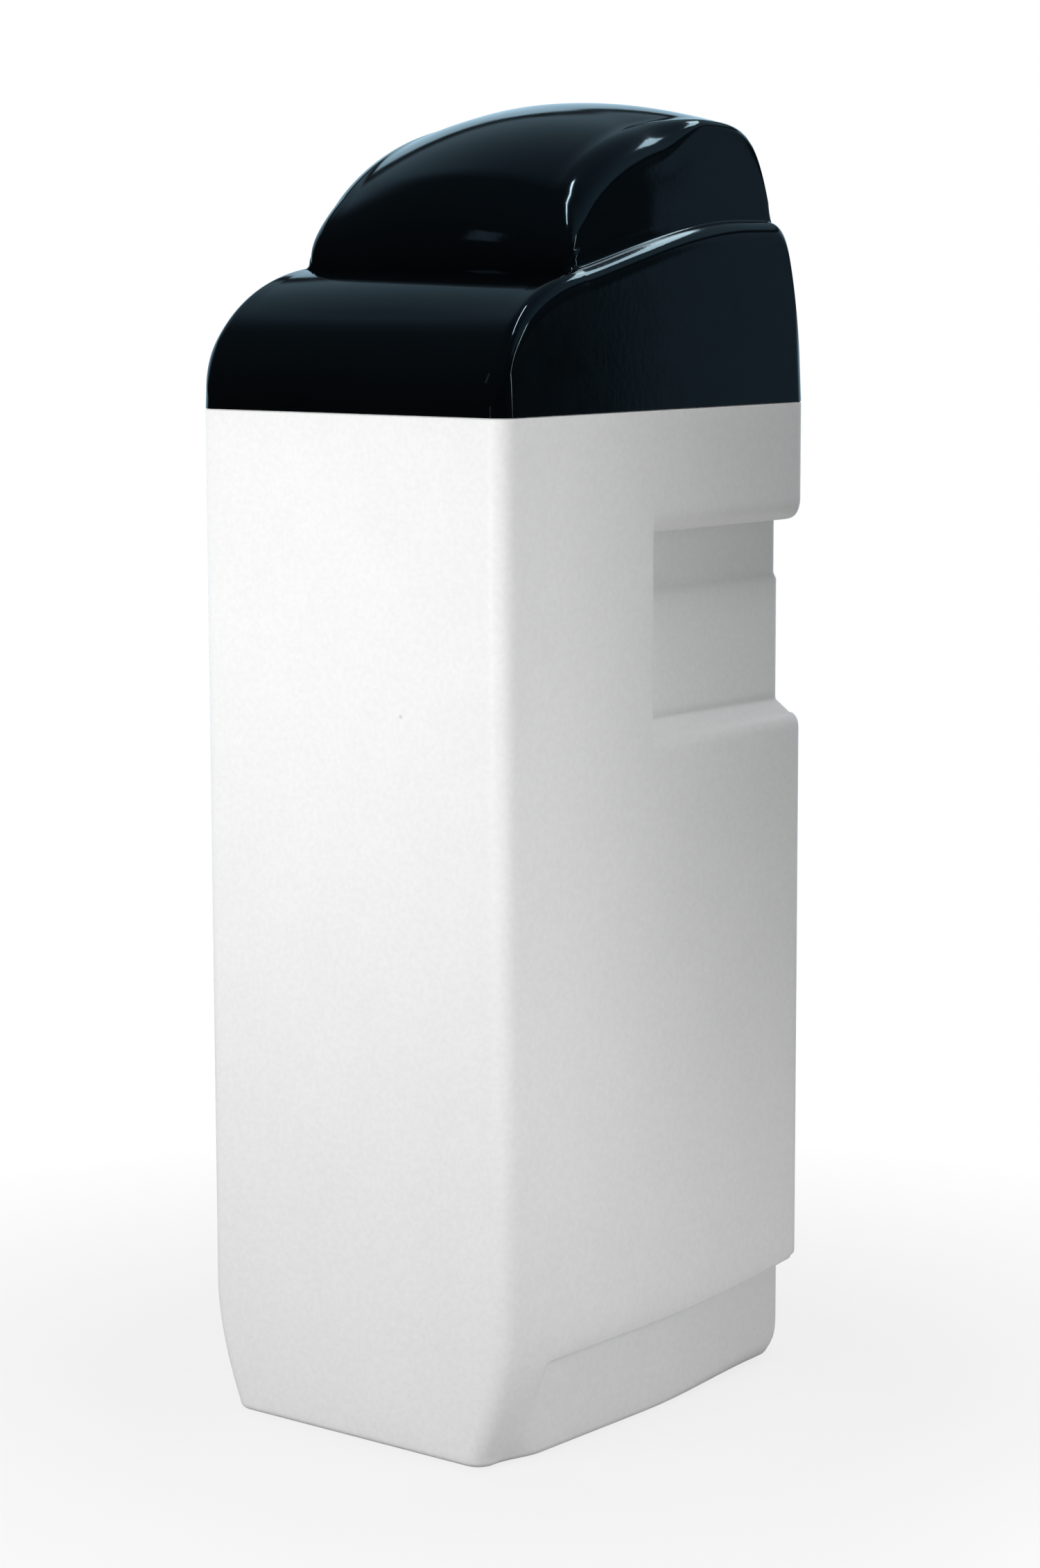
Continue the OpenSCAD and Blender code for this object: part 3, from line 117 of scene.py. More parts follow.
class SoftenerCoverSizes(PropertyGroup):
    """Sizes of the gloss cover, measured from the rim and from the front face."""

    thickness: length("Thickness", "Wall thickness at the rim", 4 * MM)
    brow_height: length("Brow height", "Height of the brow line", 115 * MM)
    brow_run: length("Brow run", "Distance of the brow line from the front", 119 * MM)
    shelf_height: length("Shelf height", "Height of the rear shelf", 154 * MM)
    shelf_run: length("Shelf run", "Where the shelf gets level", 344 * MM)
    shoulder: length("Shoulder width", "Width of the rounding on the lower tier's shoulders", 13 * MM)
    shoulder_drop: length("Shoulder drop", "Height of that rounding", 19 * MM)
    hood_in: length("Hood inset", "How far the hood stands in from the side", 21 * MM)
    hood_front: length("Hood front", "Distance of the hood's crease from the front", 114 * MM)
    hood_apex: length("Hood apex", "Distance of the hood's highest line from the front", 317 * MM)
    hood_height: length("Hood height", "Height of the hood's side edge", 241 * MM)
    hood_round: length("Hood rounding", "Radius of the hood's side edges", 34 * MM)
    hood_rear: length("Rear rounding", "Radius of those edges behind the highest line", 8 * MM)
    hood_fade: length("Rounding fade", "Length over which the radius fades, up to the highest line", 76 * MM)
    cove: length("Cove", "Height of the cove where the hood meets the shelf", 12 * MM)
    cove_rear: length("Rear cove", "Height of that cove at the rear", 3 * MM)
    crown: length("Crown", "Rise of the hood's middle above its edges", 16.2 * MM)
    bow: length("Bow", "How far the hood's front bows forward", 15 * MM)
    skirt_drop: length("Skirt", "Depth of the locating skirt inside the rim", 14 * MM)
    skirt_wall: length("Skirt wall", "Thickness of the skirt", 3 * MM)
    skirt_gap: length("Skirt gap", "Clearance between skirt and cabinet", 0.6 * MM)
    notch_half: length("Notch half width", "Half the width of the pipe notch", 105 * MM)
    notch_height: length("Notch height", "Height of the pipe notch", 120 * MM)
    edge: length("Rim edge", "Radius of the cover's lower edge", 0.8 * MM)


class SoftenerColours(PropertyGroup):
    """Colours of the finishes."""

    shell: tint("White shell", "Moulded cabinet", (0.86, 0.86, 0.86))
    gloss: tint("Gloss black", "Cover", (0.0009, 0.0011, 0.0014))
    black: tint("Black plastic", "Valve body and fittings", (0.028, 0.028, 0.03))
    grey: tint("Grey plastic", "Control head and inner mouldings", (0.33, 0.35, 0.37))
    natural: tint("Natural plastic", "Uncoloured mouldings and tubes", (0.74, 0.73, 0.67))
    vessel: tint("Vessel", "Wound resin vessel", (0.13, 0.24, 0.36))
    resin: tint("Resin", "Softening resin beads", (0.42, 0.2, 0.05))
    rubber: tint("Rubber", "Seals and gaskets", (0.018, 0.018, 0.018))
    red: tint("Red plastic", "Levers and float", (0.5, 0.03, 0.025))
    steel: tint("Steel", "Rods, bracket and pipe tails", (0.6, 0.61, 0.63))
    board: tint("Board", "Circuit board lacquer", (0.03, 0.17, 0.06))
    lens: tint("Lens", "Clear display lens", (0.9, 0.94, 0.95))
    floor: tint("Floor", "Studio floor", (0.5, 0.5, 0.5))


class SoftenerStage(PropertyGroup):
    """The studio's camera."""

    azimuth: angle("Azimuth", "Camera's turn round the object", 39.10526)
    elevation: angle("Elevation", "Camera's height as an angle", 8.15817)
    roll: angle("Roll", "Camera's lean", -0.14704)
    lens: FloatProperty(name="Lens", description="Focal length on a 36 mm long side", default=86.37, min=1.0,
                        unit="CAMERA")
    place: FloatVectorProperty(name="Camera place", description="Where the camera stands",
                               default=(2.038407, -2.493681, 0.994722), subtype="TRANSLATION", unit="LENGTH")


# Mesh helpers

def bezier(points, t):
    """Points on a curve with three or four control points."""
    points = np.array(points, dtype=float)
    t = np.asarray(t, dtype=float)[:, None]
    while len(points) > 1:
        points = [(1 - t) * a + t * b for a, b in zip(points[:-1], points[1:])]
    return points[0]


def quarter(steps):
    """Angles of a quarter turn."""
    return np.linspace(0.0, math.pi / 2, steps + 1)


def make_object(name, points, faces):
    """A mesh object with outward normals."""
    mesh = bpy.data.meshes.new(name)
    mesh.from_pydata([tuple(p) for p in points], [], faces)
    work = bmesh.new()
    work.from_mesh(mesh)
    bmesh.ops.recalc_face_normals(work, faces=work.faces)
    work.to_mesh(mesh)
    work.free()
    obj = bpy.data.objects.new(name, mesh)
    bpy.context.scene.collection.objects.link(obj)
    return obj


def shade(obj, degrees):
    """Smooth shading with edges over an angle kept sharp."""
    obj.data.polygons.foreach_set("use_smooth", [True] * len(obj.data.polygons))
    obj.data.set_sharp_from_angle(angle=math.radians(degrees))


def cut(obj, tool):
    """Cuts a tool out of an object and removes the tool."""
    boolean = obj.modifiers.new("cut", "BOOLEAN")
    boolean.operation = "DIFFERENCE"
    boolean.solver = "EXACT"
    boolean.object = tool
    depsgraph = bpy.context.evaluated_depsgraph_get()
    mesh = bpy.data.meshes.new_from_object(obj.evaluated_get(depsgraph))
    obj.modifiers.clear()
    old = obj.data
    obj.data = mesh
    mesh.name = obj.name
    bpy.data.meshes.remove(old)
    bpy.data.objects.remove(tool)
    if not mesh.polygons:
        raise RuntimeError(f"nothing is left of {obj.name} after its cut")


def prism(name, outline, start, end, place):
    """A closed prism: an outline set at two places along a line."""
    count = len(outline)
    points = [place(a, b, start) for a, b in outline] + [place(a, b, end) for a, b in outline]
    sides = [(i, (i + 1) % count, count + (i + 1) % count, count + i) for i in range(count)]
    return make_object(name, points, sides + [tuple(range(count)), tuple(range(count, 2 * count))])


def ease(share):
    """A share that starts and ends gently."""
    share = min(1.0, max(0.0, share))
    return share * share * (3 - 2 * share)


def corner_loss(distance, radius):
    """Half width lost to a round corner at a distance from its end."""
    if distance >= radius:
        return 0.0
    return radius - math.sqrt(max(0.0, radius ** 2 - (radius - distance) ** 2))


def lesser(a, b, power):
    """The lesser of two depths or heights, with a round corner where they meet."""
    if min(a, b) <= 0:
        return 0.0
    return (a ** -power + b ** -power) ** (-1 / power)


# Cabinet

# One ring of the cabinet: its height outside and inside, how far an edge tucks it in, its depth in the pocket
# and in the base recess, how much it follows the recess's rise and its growing edge, how much a larger bottom
# radius lifts it and tucks it in, how much it follows the bevel at the pocket's crease, and its depth in the
# groove under the ledge
Level = namedtuple("Level", "z inner tuck inner_tuck pocket recess lift grow swell swell_in bevel groove",
                   defaults=(0, 0, 0, 0, 0, 0, 0, 0))
FULL = 1.0
RECESS_EDGE = 4 * MM
RECESS_EDGE_REAR = 7 * MM
RECESS_EDGE_SHARE = 0.82
RECESS_BLEND = 12 * MM
RECESS_BLEND_LOW = 46 * MM
RECESS_BLEND_SHARE = 0.7
LEDGE_BEND_START = -20 * MM
MOUTH_TOP = 8 * MM
MOUTH_BOTTOM = 18 * MM
MOUTH_FADE = 40 * MM
BEVEL_FRONT = 10 * MM
BEVEL_REAR = 2 * MM
SIDE_GROWTH = 0.75
TAPER_BEND = 0.57
LEAST_CORNER = 2 * MM
REAR_CORNER_FADE = 8 * MM
POCKET_POWER = 8
OVERFLOW_HOLE = 10.3 * MM
OVERFLOW_CUT = (-0.16, -0.11)
SHELL_SHARP = 38
# The groove under the ledge: millimetres below the ledge's edge, and depth in millimetres
GROOVE = ((4, 0.6), (2.5, 2), (1.2, 2.4), (0.3, 2))


def recess_levels(s):
    """Rings of the bottom edge, the base recess and its ledge."""
    levels = []
    inner_r = s.bottom - s.wall / 2
    for a in quarter(7):
        tuck = 1 - math.sin(a)
        rise = 1 - math.cos(a)
        levels.append(Level(s.bottom * rise, s.floor + inner_r * rise, s.bottom * tuck, inner_r * tuck,
                            recess=FULL, swell=rise, swell_in=tuck))
    top = s.recess_height
    low = s.bottom + 4 * MM
    for z in np.linspace(low, top - 6 * MM, 12):
        share = (z - low) / (top - low)
        levels.append(Level(z, z + s.wall * share, 0, 0, recess=FULL, lift=share, swell=1 - share))
    for below, groove in GROOVE:
        z = top - below * MM
        levels.append(Level(z, z + s.wall, 0, 0, recess=FULL, lift=1, groove=groove * MM))
    edge_depth = s.recess_rear * RECESS_EDGE_SHARE
    for a in quarter(9)[::-1]:
        up = 1 - math.sin(a)
        z = top + RECESS_EDGE * up
        levels.append(Level(z, z + s.wall, 0, 0, recess=edge_depth * (1 - math.cos(a)), lift=1, grow=up))
    for i in range(1, 9):
        share = 1 - i / 8
        z = top + RECESS_EDGE + 9 * MM * i
        levels.append(Level(z, z + s.wall * share, 0, 0, lift=share, grow=share))
    return levels


def pocket_levels(s):
    """Rings of the grip pocket, from its lower lip to its upper lip."""
    ceiling = s.rim - s.pocket_drop
    bottom = ceiling - s.pocket_height
    crease = ceiling - s.pocket_strip
    lip, upper, face, strip = s.lip, s.upper_lip, s.pocket_depth, s.pocket_depth + s.pocket_step
    outline = [(lip * (1 - math.cos(a)), bottom - lip + lip * math.sin(a), -1) for a in quarter(9)]
    ledge_end = bottom + s.ledge_rise
    for share in (0.2, 0.4, 0.6, 0.8, 0.92):
        outline.append((lip + (face - lip) * share, bottom + s.ledge_rise * share, -1))
    outline += [(face - 0.4 * MM, ledge_end + 0.2 * MM, -1), (face, ledge_end + 1.6 * MM, -1)]
    for share in (0.1, 0.35, 0.6, 0.85):
        z = ledge_end + (crease - ledge_end) * share
        outline.append((face, z, share - 1))
    bevel_z = crease - 3 * MM
    outline += [(face, bevel_z, 0), (strip - 0.4 * MM, crease - 0.5 * MM, 0), (strip, crease + 0.8 * MM, 0)]
    for share in (0.2, 0.5, 0.8, 0.95):
        outline.append((strip, crease + s.pocket_strip * share, share))
    outline += [(strip, ceiling - 1.0 * MM, 1), (strip - 0.4 * MM, ceiling - 0.2 * MM, 1)]
    for share in (0.9, 0.6, 0.3):
        outline.append((upper + (strip - upper) * share, ceiling, 1))
    for a in quarter(12)[::-1]:
        outline.append((upper * (1 - math.cos(a)), ceiling + upper - upper * math.sin(a), 1))
    return [Level(z, z + s.wall * side, 0, 0, pocket=depth, bevel=1.0 if z == bevel_z else 0.0)
            for depth, z, side in outline]


def cabinet_levels(s):
    """All rings of the cabinet, from the bottom to the rim."""
    levels = recess_levels(s)
    pocket = pocket_levels(s)
    for z in np.linspace(levels[-1].z, pocket[0].z, 12)[1:-1]:
        levels.append(Level(z, z, 0, 0))
    levels += pocket
    edge = s.rim - s.rim_round
    for z in np.linspace(pocket[-1].z, edge, 6)[1:]:
        levels.append(Level(z, z, 0, 0))
    for a in quarter(5)[1:]:
        z = edge + s.rim_round * math.sin(a)
        inner_z = edge + (s.rim_round - 0.4 * MM) * math.sin(a)
        levels.append(Level(z, inner_z, s.rim_round * (1 - math.cos(a)), 0))
    return levels


def cabinet_stations(s):
    """Places round the right half, from the middle of the front to the middle of the rear.

    A side station is its y outside and inside, and how deep the pocket may be there."""
    stations = [("front", t) for t in np.linspace(0, 1, 9)[:-1]]
    stations += [("front_corner", a) for a in quarter(10)]
    start = s.corner - s.half_depth
    end = s.half_depth - s.corner
    recess = s.recess_front - s.half_depth
    pocket = s.half_depth - s.pocket_front
    side = []
    for share in np.linspace(0, 1, 25)[1:]:
        y = start + (recess + 6 * MM - start) * share
        side.append((y, y, 0))
    for y in np.linspace(recess + 20 * MM, pocket - 12 * MM, 6):
        side.append((y, y, 0))
    edge = 7 * MM
    for a in quarter(7):
        y = pocket - edge + edge * math.sin(a)
        side.append((y, y - s.wall, edge * (1 - math.cos(a))))
    side += [(pocket + 0.4 * MM, pocket + 0.4 * MM - s.wall, edge * 2.2),
             (pocket + 0.7 * MM, pocket + 0.7 * MM - s.wall, FULL)]
    for y in np.linspace(pocket + 6 * MM, end, 9):
        side.append((y, y, FULL))
    stations += [("side",) + row for row in side]
    stations += [("rear_corner", a) for a in quarter(10)]
    stations += [("rear", t) for t in np.linspace(0, 1, 9)[1:]]
    return stations


def bottom_growth(s, station):
    """How much larger than elsewhere the bottom radius is at a station."""
    kind, place = station[:2]
    share = 0.0
    if kind == "side":
        share = SIDE_GROWTH * ease(place / s.half_depth)
    elif kind == "rear_corner":
        share = SIDE_GROWTH + (1 - SIDE_GROWTH) * math.sin(2 * place)
    elif kind == "rear":
        share = SIDE_GROWTH * (1 - ease(2 * place))
    return (s.bottom_rear - s.bottom) * share


def recess_face(s, y):
    """Depth of the base recess's face at a place along the side."""
    return s.recess_depth + (s.recess_rear - s.recess_depth) * ease(y / s.half_depth)


def recess_share(s, z, y):
    """How far the recess has begun at a place: at once under its ledge, gently near the floor."""
    low = ease((s.recess_height - z) / (RECESS_BLEND_SHARE * s.recess_height))
    run = RECESS_BLEND + (RECESS_BLEND_LOW - RECESS_BLEND) * low
    return ease(1 + (y - s.recess_front - RECESS_BLEND / 2 + s.half_depth) / run)


def mouth_shift(s, z, y):
    """How far the pocket's front end moves back near the round corners of its mouth."""
    ceiling = s.rim - s.pocket_drop
    from_top = ceiling + s.upper_lip - z
    from_bottom = z - ceiling + s.pocket_height + s.lip
    back = max(corner_loss(max(0.0, from_top), MOUTH_TOP), corner_loss(max(0.0, from_bottom), MOUTH_BOTTOM))
    if min(from_top, from_bottom) < 0:
        back = 0.0
    front = s.half_depth - s.pocket_front
    return back * (1 - ease(abs(y - front) / MOUTH_FADE))


def side_half_width(s, z, inset, low):
    """Half width of the cabinet at a height."""
    wide = s.half_width - inset
    start = low + s.bottom - inset / 2
    ends = [(wide - s.taper_in, start), (wide - 2 * MM, TAPER_BEND * s.taper_height), (wide, s.taper_height)]
    curve = bezier(ends, np.linspace(0, 1, 80))
    return float(np.interp(z, curve[:, 1], curve[:, 0]))


def level_height(s, level, z, y):
    """A ring's height at a place along the side, where the recess's ledge rises to the rear."""
    bend = max(0.0, (y - LEDGE_BEND_START) / (s.half_depth - LEDGE_BEND_START))
    along = np.clip((y + s.half_depth - s.recess_front) / (2 * s.half_depth - s.recess_front), 0, 1)
    behind = np.clip((y - s.half_depth + s.pocket_front) / s.pocket_front, 0, 1)
    drop = level.bevel * (BEVEL_FRONT + (BEVEL_REAR - BEVEL_FRONT) * behind)
    edge = level.grow * (RECESS_EDGE_REAR - RECESS_EDGE) * along
    return z - drop + level.lift * s.recess_rise * bend ** 2 + edge


def cabinet_point(s, level, station, inner):
    """One point of the cabinet's outer or inner skin."""
    inset = s.wall if inner else 0.0
    growth = bottom_growth(s, station)
    tuck = (level.inner_tuck if inner else level.tuck) + level.swell_in * growth
    z = (level.inner if inner else level.z) + level.swell * growth
    depth = s.half_depth - inset - tuck

    def width(y):
        height = level_height(s, level, z, y)
        return side_half_width(s, height, inset, s.floor if inner else 0.0), height

    corner = max(LEAST_CORNER, s.corner - inset - tuck)

    def side_x(y, pocket):
        wide, height = width(y)
        pocket_in = lesser(level.pocket, pocket, POCKET_POWER)
        face = wide - s.half_width + inset + recess_face(s, y)
        part = face + level.groove if level.recess >= FULL else max(0.0, min(level.recess, face))
        recess_in = recess_share(s, z, y) * part
        return wide - tuck - pocket_in - recess_in, height, pocket_in + recess_in

    kind = station[0]
    if kind == "front":
        wide, height = width(-depth)
        return station[1] * (wide - tuck - corner), -depth, height
    if kind == "front_corner":
        wide, height = width(-depth)
        a = station[1]
        return wide - tuck - corner + corner * math.sin(a), -depth + corner - corner * math.cos(a), height
    if kind == "side":
        y = station[2] if inner else station[1]
        y += mouth_shift(s, z, y)
        x, height, _ = side_x(y, station[3])
        return x, y, height
    x, height, loss = side_x(depth, FULL)
    rear = s.corner + (s.rear_corner - s.corner) * min(1.0, loss / REAR_CORNER_FADE)
    rear = max(LEAST_CORNER, rear - inset - tuck)
    if kind == "rear_corner":
        a = station[1]
        return x - rear + rear * math.cos(a), depth - rear + rear * math.sin(a), height
    return (1 - station[1]) * (x - rear), depth, height


def build_cabinet(s):
    """The moulded cabinet as one closed skin, outside and inside."""
    levels = cabinet_levels(s)
    right = cabinet_stations(s)
    points = []
    for inner in (False, True):
        for level in levels:
            half = [cabinet_point(s, level, station, inner) for station in right]
            points += half + [(-x, y, z) for x, y, z in half[-2:0:-1]]
    ring = 2 * len(right) - 2
    count = len(levels)
    start = ring * count
    faces = []
    for i in range(count - 1):
        for k in range(ring):
            a, b = i * ring + k, i * ring + (k + 1) % ring
            faces.append((a, b, b + ring, a + ring))
            faces.append((start + a, start + a + ring, start + b + ring, start + b))
    last = (count - 1) * ring
    for k in range(ring):
        a, b = last + k, last + (k + 1) % ring
        faces.append((a, b, start + b, start + a))
    faces.append(tuple(range(ring - 1, -1, -1)))
    faces.append(tuple(range(start, start + ring)))
    shell = make_object("cabinet_shell", points, faces)
    cut_overflow(shell)
    shade(shell, SHELL_SHARP)
    return shell


def cut_overflow(shell):
    """Cuts the overflow's hole through the left pocket."""
    low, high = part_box("overflow_gasket")
    y, z = (low[1] + high[1]) / 2, (low[2] + high[2]) / 2
    turn = [2 * math.pi * k / 48 for k in range(48)]
    outline = [(y + OVERFLOW_HOLE * math.cos(a), z + OVERFLOW_HOLE * math.sin(a)) for a in turn]
    cut(shell, prism("overflow_tool", outline, *OVERFLOW_CUT, lambda a, b, x: (x, a, b)))


# Cover

NOTCH_ROUND = 15 * MM
NOTCH_REACH = 60 * MM
COVER_SHARP = 40


class CoverShape:
    """Heights and sections of the cover at a distance from its front."""

    side_draft = 0.05
    rear_draft = 0.15
    hood_draft = 0.12
    hood_power = 2.0
    hood_corner = 8 * MM
    cove_start = 80 * MM
    cove_fade = 130 * MM
    bow_place = 30 * MM
    bow_reach = 110 * MM
    rear_run = 24 * MM
    rear_power = 8
    hood_rear_power = 2

    def __init__(self, cabinet, cover):
        self.cabinet = cabinet
        self.c = cover
        self.depth = 2 * cabinet.half_depth
        c = cover
        samples = np.linspace(0, 1, 400)
        brow = bezier([(0, 0), (0, 0.46 * c.brow_height), (0.3 * c.brow_run, 0.9 * c.brow_height),
                       (c.brow_run, c.brow_height)], samples)
        shelf = bezier([(c.brow_run, c.brow_height), (c.brow_run + 60 * MM, c.brow_height + 12 * MM),
                        (c.shelf_run - 80 * MM, c.shelf_height), (c.shelf_run, c.shelf_height)], samples)
        self.lower_curve = np.vstack([brow, shelf[1:]])
        self.hood_base = c.brow_height + 1 * MM
        self.rear_end = self.depth - self.rear_draft * self.hood_base - 4 * MM

    def lower(self, u):
        """Height of the lower tier above the rim."""
        top = float(np.interp(u, self.lower_curve[:, 0], self.lower_curve[:, 1]))
        return lesser(top, (self.depth - u) / self.rear_draft, self.rear_power)

    def hood(self, u):
        """Rise of the hood's side edge above the lower tier."""
        c = self.c
        v = max(0.0, (c.hood_apex - u) / (c.hood_apex - c.hood_front))
        if v >= 1:
            return 0.0
        front = (c.hood_height - self.hood_base) * (1 - v ** self.hood_power) ** (1 / self.hood_power)
        rear = (self.rear_end - u) / self.hood_draft
        if rear <= 0:
            return 0.0
        return max(0.0, self.hood_base + lesser(front, rear, self.hood_rear_power) - self.lower(u))

    def stations(self):
        """Distances from the front at which sections are drawn."""
        c = self.c
        front = bezier([(0, 0), (0, 0), (0.3 * c.brow_run, 0), (c.brow_run, 0)], np.linspace(0, 1, 49))[:, 0]
        front = [u for u in front if u < c.hood_front - 2 * MM]
        apron = [c.hood_front - 1.2 * MM, c.hood_front - 0.4 * MM, c.hood_front]
        turn = np.radians(np.linspace(0.6, 90, 46))
        reach = c.hood_apex - c.hood_front
        hood = [c.hood_apex - reach * math.cos(a) ** (2 / self.hood_power) for a in turn]
        crown = list(np.linspace(c.hood_apex, self.rear_end - self.rear_run, 10)[1:])
        rear = list(self.rear_end - self.rear_run * (1 - np.sin(quarter(22)[1:])))
        tail = list(np.linspace(self.rear_end, self.depth, 26)[1:])
        return front + apron + hood + crown + rear + tail

    def rounding(self, u, rise):
        """Radius of the hood's side edge."""
        c = self.c
        fade = ease((u - c.hood_apex + c.hood_fade) / c.hood_fade)
        return min(c.hood_round + (c.hood_rear - c.hood_round) * fade, 0.6 * rise)

    def cove(self, u, rise):
        """Height of the cove at the hood's foot."""
        c = self.c
        fade = ease((u - c.hood_front - self.cove_start) / self.cove_fade)
        return min(c.cove + (c.cove_rear - c.cove) * fade, 0.3 * rise)

    def half_section(self, u):
        """Right half of one section from the rim to the middle, as [x, forward shift, height]."""
        c = self.c
        wide = self.cabinet.half_width - corner_loss(min(u, self.depth - u), self.cabinet.corner)
        low = self.lower(u)
        rise = self.hood(u)
        drop = min(c.shoulder_drop, low / 2)
        wall_top = wide - max(1 * MM, self.side_draft * (low - drop))
        ledge = wall_top - c.shoulder
        base = self.cabinet.half_width - c.hood_in - corner_loss(max(0.0, u - c.hood_front), self.hood_corner)
        base = min(base, ledge - 2 * MM)
        foot = self.cove(u, rise)
        hr = self.rounding(u, rise)
        round_width = max(hr, c.hood_rear)
        lean = max(2 * MM, self.hood_draft * (rise - hr))
        edge = base - lean - round_width
        lift = c.crown * min(1.0, rise / (c.hood_height - c.shelf_height))
        push = c.bow * max(0.0, 1 - abs(u - c.hood_front - self.bow_place) / self.bow_reach)

        points = [(wide - (wide - wall_top) * t, (low - drop) * t) for t in np.linspace(0, 1, 8)[:-1]]
        for a in quarter(14):
            points.append((wall_top - c.shoulder * (1 - math.cos(a)), low - drop * (1 - math.sin(a))))
        for a in quarter(8)[1:]:
            points.append((ledge - (ledge - base) * math.sin(a), low + foot * (1 - math.cos(a))))
        wall_low = low + foot
        wall_high = low + rise - hr
        points += [(base - lean * t, wall_low + (wall_high - wall_low) * t) for t in (0.25, 0.5, 0.75)]
        for a in quarter(16):
            points.append((edge + round_width * math.cos(a), low + rise - hr * (1 - math.sin(a))))
        for t in np.linspace(0, 1, 15)[1:]:
            points.append((edge * (1 - t), low + rise + lift * (1 - (1 - t) ** 2)))
        return [(x, push * max(0.0, 1 - (x / base) ** 2), z) for x, z in points]

    def section(self, u):
        """One section from the right rim over the middle to the left rim."""
        half = self.half_section(u)
        return half + [(-x, shift, z) for x, shift, z in half[-2::-1]]


def inset_point(s, x, y, inset):
    """A point on the cabinet's outline, moved inwards."""
    cx = s.half_width - s.corner
    cy = s.half_depth - s.corner
    near = Vector((min(max(x, -cx), cx), min(max(y, -cy), cy)))
    return near + (Vector((x, y)) - near) * (s.corner - inset) / s.corner


def edge_loop(across, along):
    """Numbers of a grid's outer points, once round."""
    loop = list(range(across)) + [i * across + across - 1 for i in range(1, along)]
    loop += [(along - 1) * across + j for j in range(across - 2, -1, -1)]
    return loop + [i * across for i in range(along - 2, 0, -1)]


def skirt_profile(s, c, seat):
    """The rim's underside and the locating skirt, as [inset, height above the rim]."""
    outside = s.wall + c.skirt_gap
    inside = outside + c.skirt_wall
    foot = 0.8 * MM
    return [(c.edge, 0), (outside - 0.5 * MM, 0), (outside, -0.5 * MM), (outside, foot - c.skirt_drop),
            (outside + foot, -c.skirt_drop), (inside - foot, -c.skirt_drop), (inside, foot - c.skirt_drop),
            (inside, seat)]


def cut_notch(cover, s, c):
    """Cuts the pipe notch out of the cover's rear."""
    r = NOTCH_ROUND
    right = [(c.notch_half, s.rim - c.skirt_drop - 1 * MM)]
    for a in quarter(10):
        right.append((c.notch_half - r + r * math.cos(a), s.rim + c.notch_height - r + r * math.sin(a)))
    outline = right + [(-x, z) for x, z in right[::-1]]
    start, end = s.half_depth - NOTCH_REACH, s.half_depth + 5 * MM
    cut(cover, prism("notch_tool", outline, start, end, lambda x, z, y: (x, y, z)))


def build_cover(s, c):
    """The gloss cover: outer skin, inner skin, locating skirt and pipe notch."""
    shape = CoverShape(s, c)
    stations = shape.stations()
    sections = [shape.section(u) for u in stations]
    across, along = len(sections[0]), len(sections)
    rows, inner_rows = [], []
    sx = 1 - c.thickness / s.half_width
    sy = 1 - c.thickness / s.half_depth
    sz = 1 - c.thickness / (c.hood_height + c.crown)
    seat = c.thickness + 0.2 * MM
    for u, section in zip(stations, sections):
        for x, shift, z in section:
            y = u - s.half_depth - shift
            rows.append((x, y, s.rim + z))
            inner_rows.append((x * sx, y * sy, s.rim + max(z * sz, seat)))
    points = rows + inner_rows
    count = across * along
    faces = []
    for i in range(along - 1):
        for j in range(across - 1):
            a, b = i * across + j, i * across + j + 1
            faces.append((a, a + across, b + across, b))
            faces.append((count + a, count + b, count + b + across, count + a + across))
    loop = edge_loop(across, along)
    rings = [loop]
    for inset, z in skirt_profile(s, c, seat):
        ring = []
        for index in loop:
            x, y = inset_point(s, rows[index][0], rows[index][1], inset)
            ring.append(len(points))
            points.append((x, y, s.rim + z))
        rings.append(ring)
    rings.append([count + index for index in loop])
    for outer, inner in zip(rings[:-1], rings[1:]):
        for k in range(len(loop)):
            nxt = (k + 1) % len(loop)
            faces.append((outer[k], inner[k], inner[nxt], outer[nxt]))
    cover = make_object("gloss_cover", points, faces)
    cut_notch(cover, s, c)
    shade(cover, COVER_SHARP)
    return cover


# Finishes

# Cool tint of the light that gloss mirrors; the cover's specular tint repeats it as painted reflection
# colour.
MIRRORED_LIGHT_TINT = (0.55, 0.82, 1.0, 1.0)
PLAIN = (1.0, 1.0, 1.0, 1.0)
SPECK = (0.25, 0.25, 0.24, 1.0)
VESSEL_Y = 0.0725
STRAND_CLIMB = 260.0
STRAND_LEAN = 27.0


